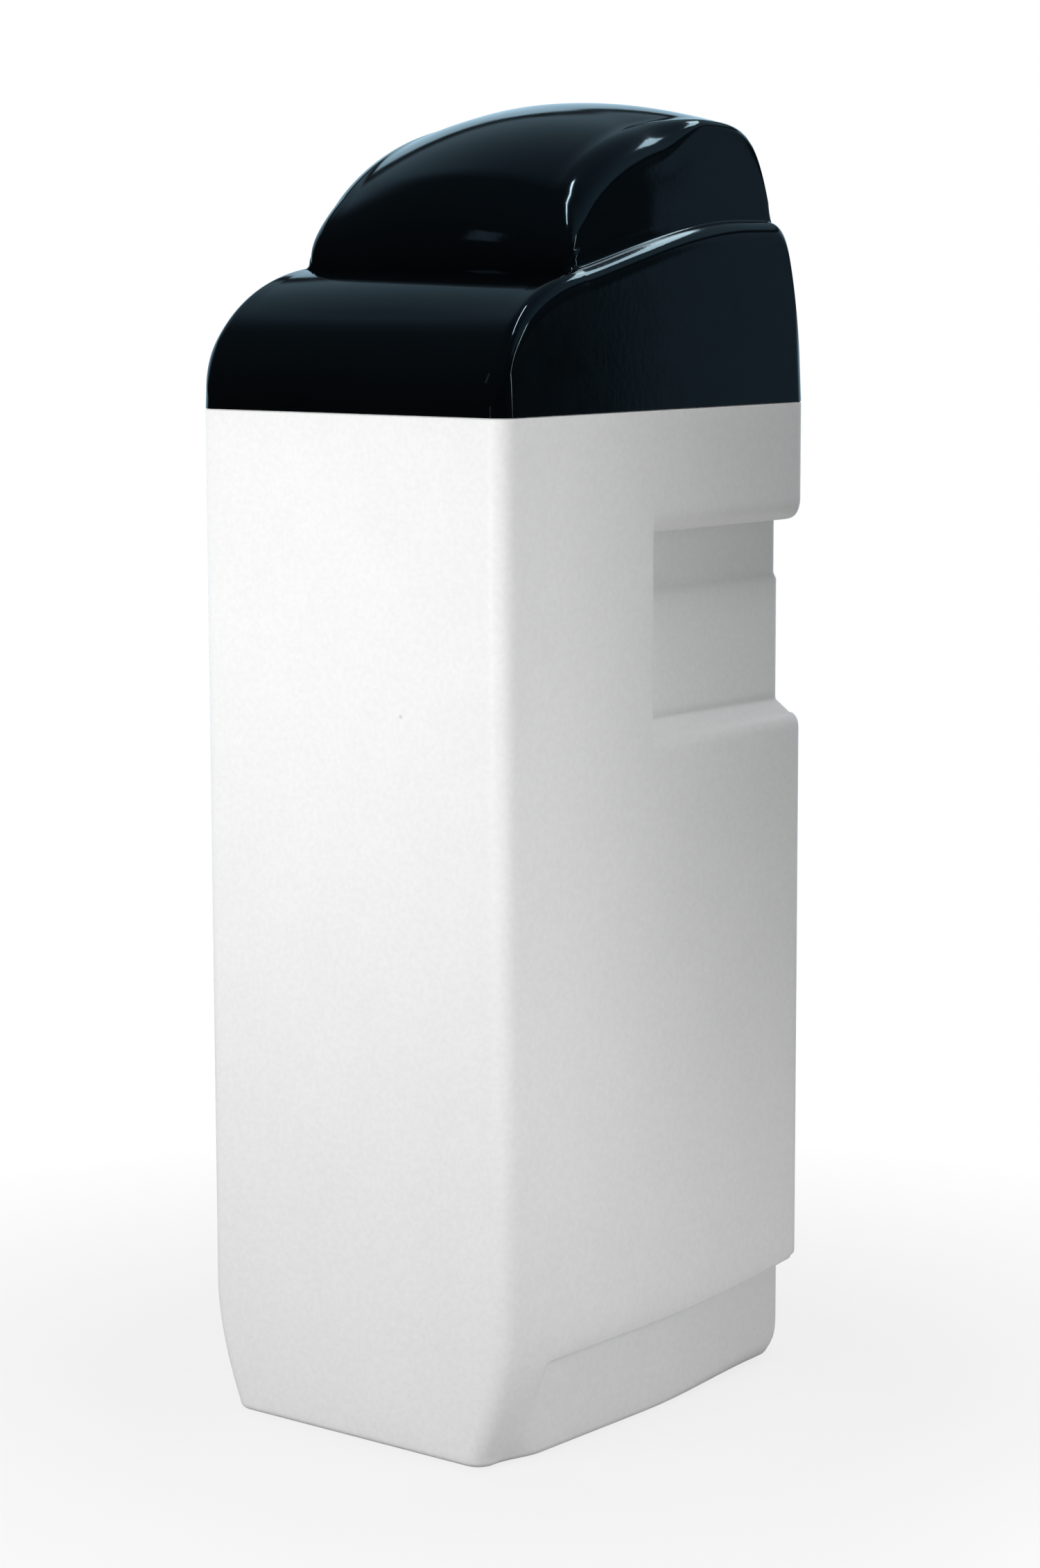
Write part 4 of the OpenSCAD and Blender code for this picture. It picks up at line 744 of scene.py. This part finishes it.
class Nodes:
    """A node tree, with short ways to add nodes to it and join them."""

    def __init__(self, tree):
        self.tree = tree

    def add(self, kind, inputs=None, **settings):
        """A new node with its settings and the values of its inputs."""
        node = self.tree.nodes.new(kind)
        for key, value in settings.items():
            setattr(node, key, value)
        for key, value in (inputs or {}).items():
            node.inputs[key].default_value = value
        return node

    def link(self, source, target):
        """Joins an output to an input."""
        self.tree.links.new(source, target)

    def feed(self, value, target):
        """Sets an input to a value, or joins an output to it."""
        if isinstance(value, (int, float, tuple)):
            target.default_value = value
        else:
            self.link(value, target)

    def span(self, source, low, high, to_low=0.0, to_high=1.0, **settings):
        """Maps one range to another."""
        ends = {"From Min": low, "From Max": high, "To Min": to_low, "To Max": to_high}
        node = self.add("ShaderNodeMapRange", ends, **settings)
        self.link(source, node.inputs["Value"])
        return node.outputs["Result"]

    def smooth(self, source, *ends):
        """Maps one range to another with gentle ends."""
        return self.span(source, *ends, interpolation_type="SMOOTHSTEP")

    def math(self, operation, first, second):
        """Works out one number from two."""
        node = self.add("ShaderNodeMath", operation=operation)
        for socket, value in zip(node.inputs, (first, second)):
            self.feed(value, socket)
        return node.outputs["Value"]

    def mix(self, factor, first, second):
        """Blends two colours."""
        node = self.add("ShaderNodeMix", data_type="RGBA")
        self.link(factor, node.inputs["Factor"])
        for socket, value in zip([i for i in node.inputs if i.type == "RGBA"], (first, second)):
            self.feed(value, socket)
        return [o for o in node.outputs if o.type == "RGBA"][0]


class Finish(Nodes):
    """A material in the making."""

    def __init__(self, name):
        self.material = bpy.data.materials.new(name)
        self.material.use_nodes = True
        super().__init__(self.material.node_tree)
        self.shader = self.tree.nodes["Principled BSDF"]
        self.coords = self.add("ShaderNodeTexCoord").outputs["Object"]

    def set(self, **sockets):
        """Sets the shader's sockets to plain values."""
        for key, value in sockets.items():
            self.shader.inputs[key.replace("_", " ")].default_value = value

    def noise(self, scale, detail=4.0, roughness=0.55, coords=None):
        """A cloudy pattern."""
        node = self.add("ShaderNodeTexNoise", {"Scale": scale, "Detail": detail, "Roughness": roughness})
        self.link(coords or self.coords, node.inputs["Vector"])
        return node.outputs["Fac"]

    def cells(self, scale):
        """A pattern of cells."""
        node = self.add("ShaderNodeTexVoronoi", {"Scale": scale}, feature="F1")
        self.link(self.coords, node.inputs["Vector"])
        return node

    def stretched(self, scale):
        """Coordinates stretched along the axes."""
        node = self.add("ShaderNodeMapping", {"Scale": scale})
        self.link(self.coords, node.inputs["Vector"])
        return node.outputs["Vector"]

    def colour(self, source):
        """Drives the shader's colour."""
        self.link(source, self.shader.inputs["Base Color"])

    def roughness(self, source):
        """Drives the shader's roughness."""
        self.link(source, self.shader.inputs["Roughness"])

    def bump(self, height, distance, strength=1.0):
        """Adds relief on top of any relief already there."""
        node = self.add("ShaderNodeBump", {"Distance": distance, "Strength": strength})
        self.link(height, node.inputs["Height"])
        normal = self.shader.inputs["Normal"]
        if normal.is_linked:
            self.link(normal.links[0].from_socket, node.inputs["Normal"])
        self.link(node.outputs["Normal"], normal)


def scaled(colour, factor):
    """A colour made lighter or darker, with full alpha."""
    return tuple(min(1.0, v * factor) for v in colour) + (1.0,)


def moulded(name, colour, roughness, mottle, grain, depth):
    """Moulded plastic with faint mottling, uneven gloss and a fine grain."""
    finish = Finish(name)
    cloud = finish.span(finish.noise(14.0), 0.3, 0.7)
    finish.colour(finish.mix(cloud, scaled(colour, 1 - mottle), scaled(colour, 1 + mottle)))
    finish.roughness(finish.span(finish.noise(55.0), 0.3, 0.7, roughness - 0.06, roughness + 0.06))
    finish.bump(finish.noise(grain, 2.0), depth)
    return finish


def white_shell(colours):
    """Rotationally moulded white shell: faint pebbling, soft clouding and a few tiny specks."""
    finish = moulded("white_shell", colours.shell, roughness=0.42, mottle=0.01, grain=420.0, depth=0.00008)
    cloud = finish.shader.inputs["Base Color"].links[0].from_socket
    pebble = finish.span(finish.noise(210.0, 2.0), 0.35, 0.65, 0.0, 0.12)
    base = finish.mix(pebble, cloud, scaled(colours.shell, 0.7))
    spots = finish.cells(16.0)
    near = finish.span(spots.outputs["Distance"], 0.02, 0.035, 1.0, 0.0)
    split = finish.add("ShaderNodeSeparateColor")
    finish.link(spots.outputs["Color"], split.inputs["Color"])
    chosen = finish.math("GREATER_THAN", split.outputs["Red"], 0.86)
    speck = finish.math("MULTIPLY", finish.math("MULTIPLY", near, chosen), 0.3)
    finish.colour(finish.mix(speck, base, SPECK))
    finish.bump(finish.noise(130.0, 3.0), 0.00035, 0.6)
    finish.bump(finish.noise(26.0, 3.0), 0.0005, 0.5)
    finish.set(Specular_IOR_Level=0.35)
    return finish.material


def black_gloss(colours):
    """High-gloss black cover with a trace of orange peel, and a painted cool tint on its reflections that
    copies the colour of the mirrored studio light.
    """
    finish = Finish("black_gloss")
    cloud = finish.span(finish.noise(8.0), 0.3, 0.7)
    finish.colour(finish.mix(cloud, scaled(colours.gloss, 0.8), scaled(colours.gloss, 1.2)))
    finish.roughness(finish.span(finish.noise(35.0), 0.3, 0.7, 0.05, 0.1))
    finish.bump(finish.noise(160.0, 1.0), 0.00002)
    # Painted reflection colour: the cool specular tint stands for the tint of the light the cover mirrors,
    # which the world also gives to gloss rays.
    finish.set(Specular_Tint=MIRRORED_LIGHT_TINT)
    return finish.material


def black_plastic(colours):
    """Fine-grained black moulding."""
    return moulded("black_plastic", colours.black, roughness=0.45, mottle=0.15, grain=900.0,
                   depth=0.00008).material


def grey_plastic(colours):
    """Grey moulding."""
    return moulded("grey_plastic", colours.grey, roughness=0.48, mottle=0.05, grain=800.0,
                   depth=0.00006).material


def natural_plastic(colours):
    """Uncoloured, slightly milky moulding."""
    finish = moulded("natural_plastic", colours.natural, roughness=0.38, mottle=0.04, grain=500.0,
                     depth=0.00004)
    finish.set(Subsurface_Weight=0.15, Subsurface_Radius=(0.004, 0.004, 0.003))
    return finish.material


def vessel_shell(colours):
    """Wound glass-fibre vessel: two crossing layers of strands under resin."""
    finish = Finish("vessel_shell")
    parts = finish.add("ShaderNodeSeparateXYZ")
    finish.link(finish.coords, parts.inputs["Vector"])
    turn = finish.math("ARCTAN2", finish.math("SUBTRACT", parts.outputs["Y"], VESSEL_Y), parts.outputs["X"])
    climb = finish.math("MULTIPLY", parts.outputs["Z"], STRAND_CLIMB)
    strands = []
    for lean in (STRAND_LEAN, -STRAND_LEAN):
        run = finish.math("ADD", climb, finish.math("MULTIPLY", turn, lean))
        strands.append(finish.math("ABSOLUTE", finish.math("SINE", run, 0.0), 0.0))
    weave = finish.math("MULTIPLY", strands[0], strands[1])
    share = finish.span(weave, 0.0, 1.0)
    finish.colour(finish.mix(share, scaled(colours.vessel, 0.75), scaled(colours.vessel, 1.25)))
    finish.roughness(finish.span(finish.noise(60.0), 0.3, 0.7, 0.3, 0.45))
    finish.bump(weave, 0.0003, 0.6)
    return finish.material


def resin(colours):
    """Packed amber beads, with painted shade towards the gaps between them."""
    finish = Finish("resin")
    beads = finish.cells(900.0)
    # Painted shading: colour is lighter in each bead's middle and darker towards the gaps between beads,
    # where shade falls; the same pattern also gives the bump.
    bead_height_and_painted_shade = finish.span(beads.outputs["Distance"], 0.0, 0.6, 1.0, 0.0)
    finish.colour(finish.mix(bead_height_and_painted_shade, scaled(colours.resin, 0.4), scaled(colours.resin, 1.3)))
    finish.bump(bead_height_and_painted_shade, 0.0004)
    finish.set(Roughness=0.25)
    return finish.material


def rubber(colours):
    """Matt black rubber."""
    finish = moulded("rubber", colours.rubber, roughness=0.7, mottle=0.2, grain=1200.0, depth=0.00005)
    finish.set(Specular_IOR_Level=0.3)
    return finish.material


def red_plastic(colours):
    """Glossy red moulding."""
    return moulded("red_plastic", colours.red, roughness=0.3, mottle=0.08, grain=600.0,
                   depth=0.00003).material


def steel(colours):
    """Turned and pressed steel with fine brushing."""
    finish = Finish("steel")
    streaks = finish.noise(260.0, 6.0, 0.6, finish.stretched((0.06, 1.0, 1.0)))
    share = finish.span(streaks, 0.3, 0.7)
    finish.colour(finish.mix(share, scaled(colours.steel, 0.88), scaled(colours.steel, 1.08)))
    finish.roughness(finish.span(streaks, 0.3, 0.7, 0.24, 0.4))
    finish.bump(streaks, 0.00003)
    finish.set(Metallic=1.0)
    return finish.material


def board(colours):
    """Lacquered circuit board with a faint pattern of tracks."""
    finish = Finish("board")
    tracks = finish.add("ShaderNodeTexBrick", {"Scale": 260.0, "Mortar Size": 0.06})
    finish.link(finish.coords, tracks.inputs["Vector"])
    share = finish.span(tracks.outputs["Fac"], 0.0, 1.0)
    finish.colour(finish.mix(share, scaled(colours.board, 1.0), scaled(colours.board, 1.7)))
    finish.roughness(finish.span(finish.noise(80.0), 0.3, 0.7, 0.25, 0.4))
    return finish.material


def clear(colours):
    """Clear display lens."""
    finish = Finish("clear")
    finish.roughness(finish.span(finish.noise(50.0), 0.3, 0.7, 0.03, 0.12))
    finish.set(Base_Color=scaled(colours.lens, 1.0), Transmission_Weight=1.0, IOR=1.49)
    return finish.material


FINISHES = (white_shell, black_gloss, black_plastic, grey_plastic, natural_plastic, vessel_shell, resin,
            rubber, red_plastic, steel, board, clear)
SLOT_OF = {row["node"]: row["material_slot"] for row in frame["record"]["subparts"]}


def finish_for(slot):
    """The material of a slot, made the first time it is asked for."""
    if slot not in bpy.data.materials or not bpy.data.materials[slot].get("softener_finish"):
        maker = {f.__name__: f for f in FINISHES}[slot]
        old = bpy.data.materials.get(slot)
        if old:
            old.name = slot + "_plain"
        material = maker(bpy.context.scene.softener_colours)
        material["softener_finish"] = True
    return bpy.data.materials[slot]


def dress(*nodes):
    """Gives CAD nodes their finish."""
    for name in nodes:
        obj = frame["nodes"][name]
        material = finish_for(SLOT_OF[name])
        if not obj.material_slots:
            obj.data.materials.append(material)
        for material_slot in obj.material_slots:
            material_slot.material = material


def place_piece(obj, slot, body, node):
    """Finishes a modelled piece, sets it on its body and lets it stand for a CAD node."""
    obj.data.materials.clear()
    obj.data.materials.append(finish_for(slot))
    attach(obj, body)
    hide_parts(node)


# Studio

def add_camera(scene, stage):
    """The camera at the photograph's place, with the long side of the frame as the sensor."""
    az, el, roll = stage.azimuth, stage.elevation, stage.roll
    back = Vector((math.sin(az) * math.cos(el), -math.cos(az) * math.cos(el), math.sin(el)))
    level = Vector((math.cos(az), math.sin(az), 0.0))
    up = back.cross(level)
    right = level * math.cos(roll) + up * math.sin(roll)
    top = up * math.cos(roll) - level * math.sin(roll)
    data = bpy.data.cameras.new("camera")
    data.lens = stage.lens
    data.sensor_fit = "AUTO"
    data.sensor_width = 36.0
    data.clip_end = 50.0
    camera = bpy.data.objects.new("camera", data)
    turn = Matrix((right, top, back)).transposed().to_4x4()
    camera.matrix_world = Matrix.Translation(Vector(stage.place)) @ turn
    scene.collection.objects.link(camera)
    scene.camera = camera


FLOOR_RADIUS = 2.4
FLOOR_DROP = 0.5 * MM
SHADOW_REACH = (0.35, 0.95)
SHADOW_SHARE = 0.2


def add_floor(scene):
    """A pale round floor that shows the shadow near the object and turns white further out."""
    rings = 12
    sides = 96
    points = [(0.0, 0.0, 0.0)]
    for i in range(1, rings + 1):
        for k in range(sides):
            a = 2 * math.pi * k / sides
            r = FLOOR_RADIUS * i / rings
            points.append((r * math.cos(a), r * math.sin(a), 0.0))
    faces = [(0, 1 + k, 1 + (k + 1) % sides) for k in range(sides)]
    for i in range(rings - 1):
        for k in range(sides):
            a, b = 1 + i * sides + k, 1 + i * sides + (k + 1) % sides
            faces.append((a, a + sides, b + sides, b))
    floor = make_object("studio_floor", points, faces)
    floor.location.z = -FLOOR_DROP
    finish = Finish("studio_floor")
    finish.set(Base_Color=scaled(scene.softener_colours.floor, 1.0), Roughness=0.9, Specular_IOR_Level=0.1)
    path = finish.add("ShaderNodeLightPath")
    seen = finish.math("MAXIMUM", path.outputs["Is Camera Ray"], path.outputs["Is Transmission Ray"])
    far = finish.add("ShaderNodeVectorMath", operation="LENGTH")
    finish.link(finish.coords, far.inputs[0])
    white_share = finish.span(far.outputs["Value"], *SHADOW_REACH, 1 - SHADOW_SHARE, 1.0)
    white = finish.add("ShaderNodeEmission", {"Color": PLAIN, "Strength": 1.0})
    join = finish.add("ShaderNodeMixShader")
    finish.link(finish.math("MULTIPLY", seen, white_share), join.inputs["Fac"])
    finish.link(finish.shader.outputs["BSDF"], join.inputs[1])
    finish.link(white.outputs["Emission"], join.inputs[2])
    finish.link(join.outputs["Shader"], finish.tree.nodes["Material Output"].inputs["Surface"])
    floor.data.materials.append(finish.material)


# The room that gloss mirrors, and the light all round. Each is a range of a direction's bearing, height or
# depth, and the brightness at the two ends of that range.
WALL_FADE = (0.05, 0.5, 1.0, 0.22)
WALL_END = (0.645, 0.665, 1.0, 0.15)
WALL_TOP = (0.38, 0.42, 1.0, 0.0)
CEILING_START = (0.46, 0.52, 0.0, 1.0)
CEILING_FADE = (0.5, 0.98, 0.32, 0.1)
REAR_HALF = (-0.25, 0.1, 0.0, 1.0)
DIM_ROOM = (-0.2, 0.9, 0.008, 0.075)
AMBIENT = (-0.1, 0.3, 0.03, 0.25)


def add_world(scene):
    """White behind the object, and a dim studio that lights it from all round."""
    world = bpy.data.worlds.new("studio")
    world.use_nodes = True
    scene.world = world
    nodes = Nodes(world.node_tree)
    background = nodes.tree.nodes["Background"]
    path = nodes.add("ShaderNodeLightPath")
    coords = nodes.add("ShaderNodeTexCoord")
    parts = nodes.add("ShaderNodeSeparateXYZ")
    nodes.link(coords.outputs["Generated"], parts.inputs["Vector"])
    bearing = nodes.math("ARCTAN2", parts.outputs["X"], parts.outputs["Y"])
    height = parts.outputs["Z"]

    side_wall = nodes.math("MULTIPLY", nodes.smooth(bearing, *WALL_FADE), nodes.smooth(bearing, *WALL_END))
    wall = nodes.math("MULTIPLY", side_wall, nodes.smooth(height, *WALL_TOP))
    ceiling = nodes.math("MULTIPLY", nodes.smooth(height, *CEILING_START),
                         nodes.smooth(height, *CEILING_FADE))
    room = nodes.math("ADD", wall, ceiling)
    rear = nodes.math("MULTIPLY", nodes.smooth(parts.outputs["Y"], *REAR_HALF), room)
    mirror = nodes.math("ADD", rear, nodes.smooth(height, *DIM_ROOM))

    glossy = path.outputs["Is Glossy Ray"]
    straight = nodes.math("MAXIMUM", path.outputs["Is Camera Ray"], path.outputs["Is Transmission Ray"])
    soft = nodes.math("MULTIPLY", nodes.math("SUBTRACT", 1.0, glossy), nodes.smooth(height, *AMBIENT))
    level = nodes.math("ADD", nodes.math("MULTIPLY", glossy, mirror), soft)
    nodes.link(nodes.math("MAXIMUM", level, straight), background.inputs["Strength"])
    nodes.link(nodes.mix(glossy, PLAIN, MIRRORED_LIGHT_TINT), background.inputs["Color"])


# Lamps: place, what they point at, width, height, watts, colour, and whether they light and show in gloss.
# Those that only show in gloss stand for what the cover mirrors.
Lamp = namedtuple("Lamp", "name place aim width height watts colour lights mirrored")
WHITE = (1.0, 1.0, 1.0)
COOL = (0.8, 0.95, 1.0)
WARM = (1.0, 0.97, 0.88)
AMBER = (1.0, 0.86, 0.76)
SKY = (0.7, 0.85, 1.0)
LAMPS = (
    Lamp("front_box", (-0.12, -1.3, 0.8), (-0.05, -0.2, 0.75), 0.9, 0.6, 12.9, WHITE, True, False),
    Lamp("side_box", (0.465, -0.2, 0.59), (0.165, -0.2, 0.59), 0.1, 0.89, 0.76, WHITE, True, False),
    Lamp("top_box", (0.7, 0.0, 2.3), (0.165, 0.0, 0.6), 0.3, 0.3, 6.6, WHITE, True, False),
    Lamp("floor_glow", (0.72, 0.08, 0.1), (0.15, 0.08, 0.05), 0.5, 0.1, 0.75, WHITE, True, False),
    Lamp("rear_box", (-0.1, 1.7, 1.0), (0.0, 0.2, 0.6), 0.9, 1.2, 8.5, WHITE, True, False),
    Lamp("left_box", (-1.5, 0.0, 1.0), (-0.165, 0.0, 0.6), 0.9, 1.2, 6.0, WHITE, True, False),
    Lamp("rear_strip", (0.35, 1.36, 2.54), (0.15, -0.05, 1.0), 0.95, 0.25, 5.2, COOL, False, True),
    Lamp("top_strip", (0.3, -0.35, 2.4), (0.155, -0.18, 0.93), 0.06, 0.8, 4.0, WHITE, False, True),
    Lamp("side_strip", (2.4, 0.95, 1.65), (0.14, -0.09, 1.0), 0.06, 1.4, 4.0, WARM, False, True),
    Lamp("front_lamp", (0.05, -2.4, 0.75), (0.155, -0.2, 0.88), 0.15, 0.3, 2.8, AMBER, False, True),
    Lamp("window", (-1.5, -2.4, 2.05), (0.09, -0.1, 1.0), 0.25, 0.35, 0.1, SKY, False, True),
)


def add_lamps(scene):
    """The studio's lamps."""
    for lamp in LAMPS:
        data = bpy.data.lights.new(lamp.name, "AREA")
        data.shape = "RECTANGLE"
        data.size, data.size_y = lamp.width, lamp.height
        data.energy = lamp.watts
        data.color = lamp.colour
        obj = bpy.data.objects.new(lamp.name, data)
        obj.location = lamp.place
        aim = Vector(lamp.aim) - Vector(lamp.place)
        obj.rotation_euler = aim.to_track_quat("-Z", "Y").to_euler()
        obj.visible_camera = False
        obj.visible_diffuse = lamp.lights
        obj.visible_glossy = lamp.mirrored
        scene.collection.objects.link(obj)


# Operators

class SOFTENER_OT_stage(Operator):
    """Set up the camera, the floor, the light and the white background"""

    bl_idname = "softener.stage"
    bl_label = "Studio"

    def execute(self, context):
        scene = context.scene
        scene.view_settings.view_transform = "Standard"
        add_camera(scene, scene.softener_stage)
        add_floor(scene)
        add_world(scene)
        add_lamps(scene)
        return {"FINISHED"}


class SOFTENER_OT_cabinet(Operator):
    """Mould the white cabinet with its grip pockets and base recess"""

    bl_idname = "softener.cabinet"
    bl_label = "Cabinet"

    def execute(self, context):
        shell = build_cabinet(context.scene.softener_cabinet)
        place_piece(shell, "white_shell", "cabinet", "cabinet")
        return {"FINISHED"}


class SOFTENER_OT_cover(Operator):
    """Mould the gloss black cover"""

    bl_idname = "softener.cover"
    bl_label = "Cover"

    def execute(self, context):
        cover = build_cover(context.scene.softener_cabinet, context.scene.softener_cover)
        place_piece(cover, "black_gloss", "cover", "cover")
        return {"FINISHED"}


class SOFTENER_OT_brine_side(Operator):
    """Finish the salt grid, the brine well, the float and the overflow"""

    bl_idname = "softener.brine_side"
    bl_label = "Brine side"

    def execute(self, context):
        dress("salt_grid", "brine_well", "brine_well_cap", "safety_valve", "pickup_tube", "air_check",
              "check_ball", "float_rod", "brine_float", "float_grommets", "well_elbow", "brine_line",
              "overflow_elbow", "overflow_gasket", "overflow_nut")
        return {"FINISHED"}


class SOFTENER_OT_resin_side(Operator):
    """Finish the resin vessel and what is in it"""

    bl_idname = "softener.resin_side"
    bl_label = "Resin side"

    def execute(self, context):
        dress("vessel_foot", "resin_vessel", "resin_bed", "lower_distributor", "riser_tube",
              "upper_distributor", "vessel_seal", "riser_seal")
        return {"FINISHED"}


class SOFTENER_OT_valve(Operator):
    """Finish the piston valve and the fittings on it"""

    bl_idname = "softener.valve"
    bl_label = "Valve"

    def execute(self, context):
        dress("valve_body", "seal_spacers", "piston_seals", "piston", "piston_rod", "end_plug", "injector",
              "injector_cap", "brine_elbow", "drain_elbow")
        return {"FINISHED"}


class SOFTENER_OT_control_head(Operator):
    """Finish the drive, the board, the buttons and their cover"""

    bl_idname = "softener.control_head"
    bl_label = "Control head"

    def execute(self, context):
        dress("drive_bracket", "drive_gear", "reduction_gear", "motor_pinion", "drive_motor",
              "bracket_screws", "control_cover", "circuit_board", "tact_switches", "display_lens", "button_1",
              "button_2", "button_3", "button_4", "power_socket")
        return {"FINISHED"}


class SOFTENER_OT_bypass(Operator):
    """Finish the bypass valve, its levers, the meter and the pipe tails"""

    bl_idname = "softener.bypass"
    bl_label = "Bypass and meter"

    def execute(self, context):
        dress("bypass_body", "inlet_rotor", "outlet_rotor", "meter_cage", "meter_turbine", "inlet_tail",
              "outlet_tail")
        return {"FINISHED"}


class SOFTENER_PT_panel(Panel):
    """Buttons and sizes in the sidebar"""

    bl_idname = "SOFTENER_PT_panel"
    bl_label = "Water softener"
    bl_space_type = "VIEW_3D"
    bl_region_type = "UI"
    bl_category = "Softener"

    def draw(self, context):
        for operator in OPERATORS:
            self.layout.operator(operator.bl_idname)
        for name in GROUPS:
            group = getattr(context.scene, name)
            box = self.layout.box()
            for key in group.__annotations__:
                box.prop(group, key)


OPERATORS = (SOFTENER_OT_stage, SOFTENER_OT_cabinet, SOFTENER_OT_cover, SOFTENER_OT_brine_side,
             SOFTENER_OT_resin_side, SOFTENER_OT_valve, SOFTENER_OT_control_head, SOFTENER_OT_bypass)
GROUPS = {
    "softener_cabinet": SoftenerCabinetSizes,
    "softener_cover": SoftenerCoverSizes,
    "softener_colours": SoftenerColours,
    "softener_stage": SoftenerStage,
}


def register():
    """Registers the groups, the operators and the panel."""
    for group in GROUPS.values():
        bpy.utils.register_class(group)
    for name, group in GROUPS.items():
        setattr(bpy.types.Scene, name, PointerProperty(type=group))
    for operator in OPERATORS:
        bpy.utils.register_class(operator)
    bpy.utils.register_class(SOFTENER_PT_panel)


def unregister():
    """Takes everything out again, in the opposite order."""
    bpy.utils.unregister_class(SOFTENER_PT_panel)
    for operator in reversed(OPERATORS):
        bpy.utils.unregister_class(operator)
    for name in GROUPS:
        delattr(bpy.types.Scene, name)
    for group in reversed(list(GROUPS.values())):
        bpy.utils.unregister_class(group)


def main():
    """Builds the softener."""
    register()
    bpy.ops.softener.stage()
    bpy.ops.softener.cabinet()
    bpy.ops.softener.cover()
    bpy.ops.softener.brine_side()
    bpy.ops.softener.resin_side()
    bpy.ops.softener.valve()
    bpy.ops.softener.control_head()
    bpy.ops.softener.bypass()


if __name__ == "__main__":
    main()
